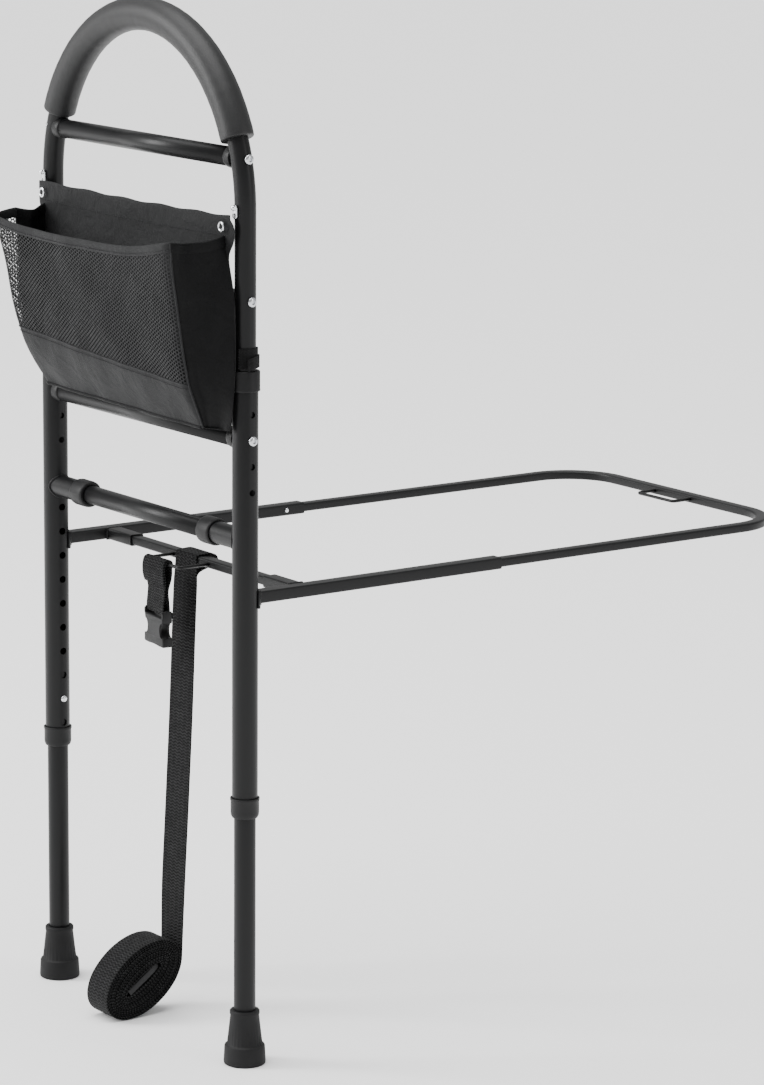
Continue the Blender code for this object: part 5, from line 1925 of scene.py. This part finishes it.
line = []
for c in range(STITCH_STEPS + 1):
    x = 0.98 * hem_half * (2 * c / STITCH_STEPS - 1)
    y = back_y - 0.0008 + wrinkle(x, HEM_STITCHES)
    line.append((x, y, pouch_high.z - HEM_STITCHES - hem_sag(x)))
stitches("hem_stitches", line, "handle", thread)
line = []
for c in range(STITCH_STEPS + 1):
    share = c / STITCH_STEPS
    point, outward = bag_point("front", share, top_drop("front", share) + TAPE_STITCHES)
    line.append(point + outward * 0.0016)
stitches("tape_stitches", line, "handle", thread)
line = []
for share in front_shares:
    point, outward = bag_point("front", share, between(SEAM_DROP, share) + BAND_STITCHES)
    line.append(point + outward * 0.0007)
stitches("band_stitches", line, "handle", thread)


# Eyelets and hangers ------------------------------------------------------------------------------
# Rolled steel eyelets in the ends of the hem hook on plated oval studs that are riveted to the
# handle's legs.

fitting_chrome = plated_steel("fitting_chrome", CHROME_TONE, 0.10, 0.06)
face_front = Matrix.Rotation(math.pi / 2, 4, "X")
RIVET_PROFILE = (  # radius and height of its domed head
    (0.0, 0.0036),
    (0.0014, 0.0034),
    (0.0023, 0.0026),
    (0.0026, 0.0014),
    (0.0026, 0.0),
    (0.0, 0.0),
)
for side, way in SIDES.items():
    low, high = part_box(f"{side}_eyelet")
    centre = (low + high) / 2
    rim = arc((0.0040, 0.0), 0.0012, -90, 270, 14)[:-1]
    front = [(radius, 0.55 * height) for radius, height in rim][::-1]
    place = Matrix.Translation((centre.x, high.y - 0.0004, centre.z)) @ face_front
    eyelet = turned(f"{side}_ring", front, place, steps=48)
    fit(eyelet, "handle", "chrome", fitting_chrome, f"{side}_eyelet")

    low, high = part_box(f"{side}_hanger")
    centre = (low + high) / 2
    oval = arc((0, 0.0035), 0.0034, 0, 180, 16) + arc((0, -0.0035), 0.0034, 180, 360, 16)
    slot = arc((0, -0.0030), 0.0014, 0, 180, 10) + arc((0, -0.0052), 0.0014, 180, 360, 10)
    stand = Matrix.Translation((centre.x, high.y - 0.0012, centre.z - 0.0040)) @ face_front
    stud = plate(f"{side}_hook", [oval, slot], 0.0014, 0.0004, stand)
    fit(stud, "handle", "chrome", fitting_chrome, f"{side}_hanger")
    place = Matrix.Translation((centre.x, high.y - 0.0018, centre.z + 0.0002)) @ face_front
    rivet = turned(f"{side}_rivet", RIVET_PROFILE, place, steps=36, closed=False)
    fit(rivet, "handle", "chrome", fitting_chrome)


# Pouch ties ---------------------------------------------------------------------------------------
# Short nylon tapes sewn to the pouch's back, wrapped round the handle's legs just over the upper
# collars and pressed shut, with a free tail.

TIE_GAP = 0.0012
TIE_THICKNESS = 0.0013
TIE_RISE = 0.0062
TAIL_STAND = 1.13
tie_webbing = webbing("tie_webbing", WEBBING_BLACK, WEBBING_CROWN_HIGHLIGHT, 0.0012)
for side, way in SIDES.items():
    low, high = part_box(f"{side}_pouch_tie")
    tube = middle_of(f"{side}_upright_tube")
    ring = handle_radius + TIE_GAP
    wrap = arc((0, 0), ring, 250, -58, 40)
    wrap = [(-0.0075, back_y - tube.y + 0.0034), *wrap, (0.0068, back_y - tube.y + 0.0040)]
    rows = []
    for x, y in wrap:
        heights = np.linspace(low.z, high.z + TIE_RISE, 6)
        rows.append([(tube.x + way * x, tube.y + y, z) for z in heights])
    tie = thicken(cloth(f"{side}_tie", rows), TIE_THICKNESS, edge=0.0002)
    fit(tie, "pouch_ties", "webbing", tie_webbing, f"{side}_pouch_tie")
    tail = []
    for degrees in (75, 52, 30):
        turn, stand_off = math.radians(degrees), TAIL_STAND * ring
        tail.append((stand_off * math.cos(turn), stand_off * math.sin(turn), 0.0))
    tail += [(0.0145, -0.001, -0.0012), (0.0150, -0.0072, -0.0026)]
    rows = []
    for x, y, fall in smooth_through(tail, 5):
        heights = np.linspace(low.z + 0.0008, high.z - 0.0008, 6) + fall
        rows.append([(tube.x + way * x, tube.y + y, z) for z in heights])
    end = thicken(cloth(f"{side}_tie_tail", rows), TIE_THICKNESS, edge=0.0002)
    fit(end, "pouch_ties", "webbing", tie_webbing)
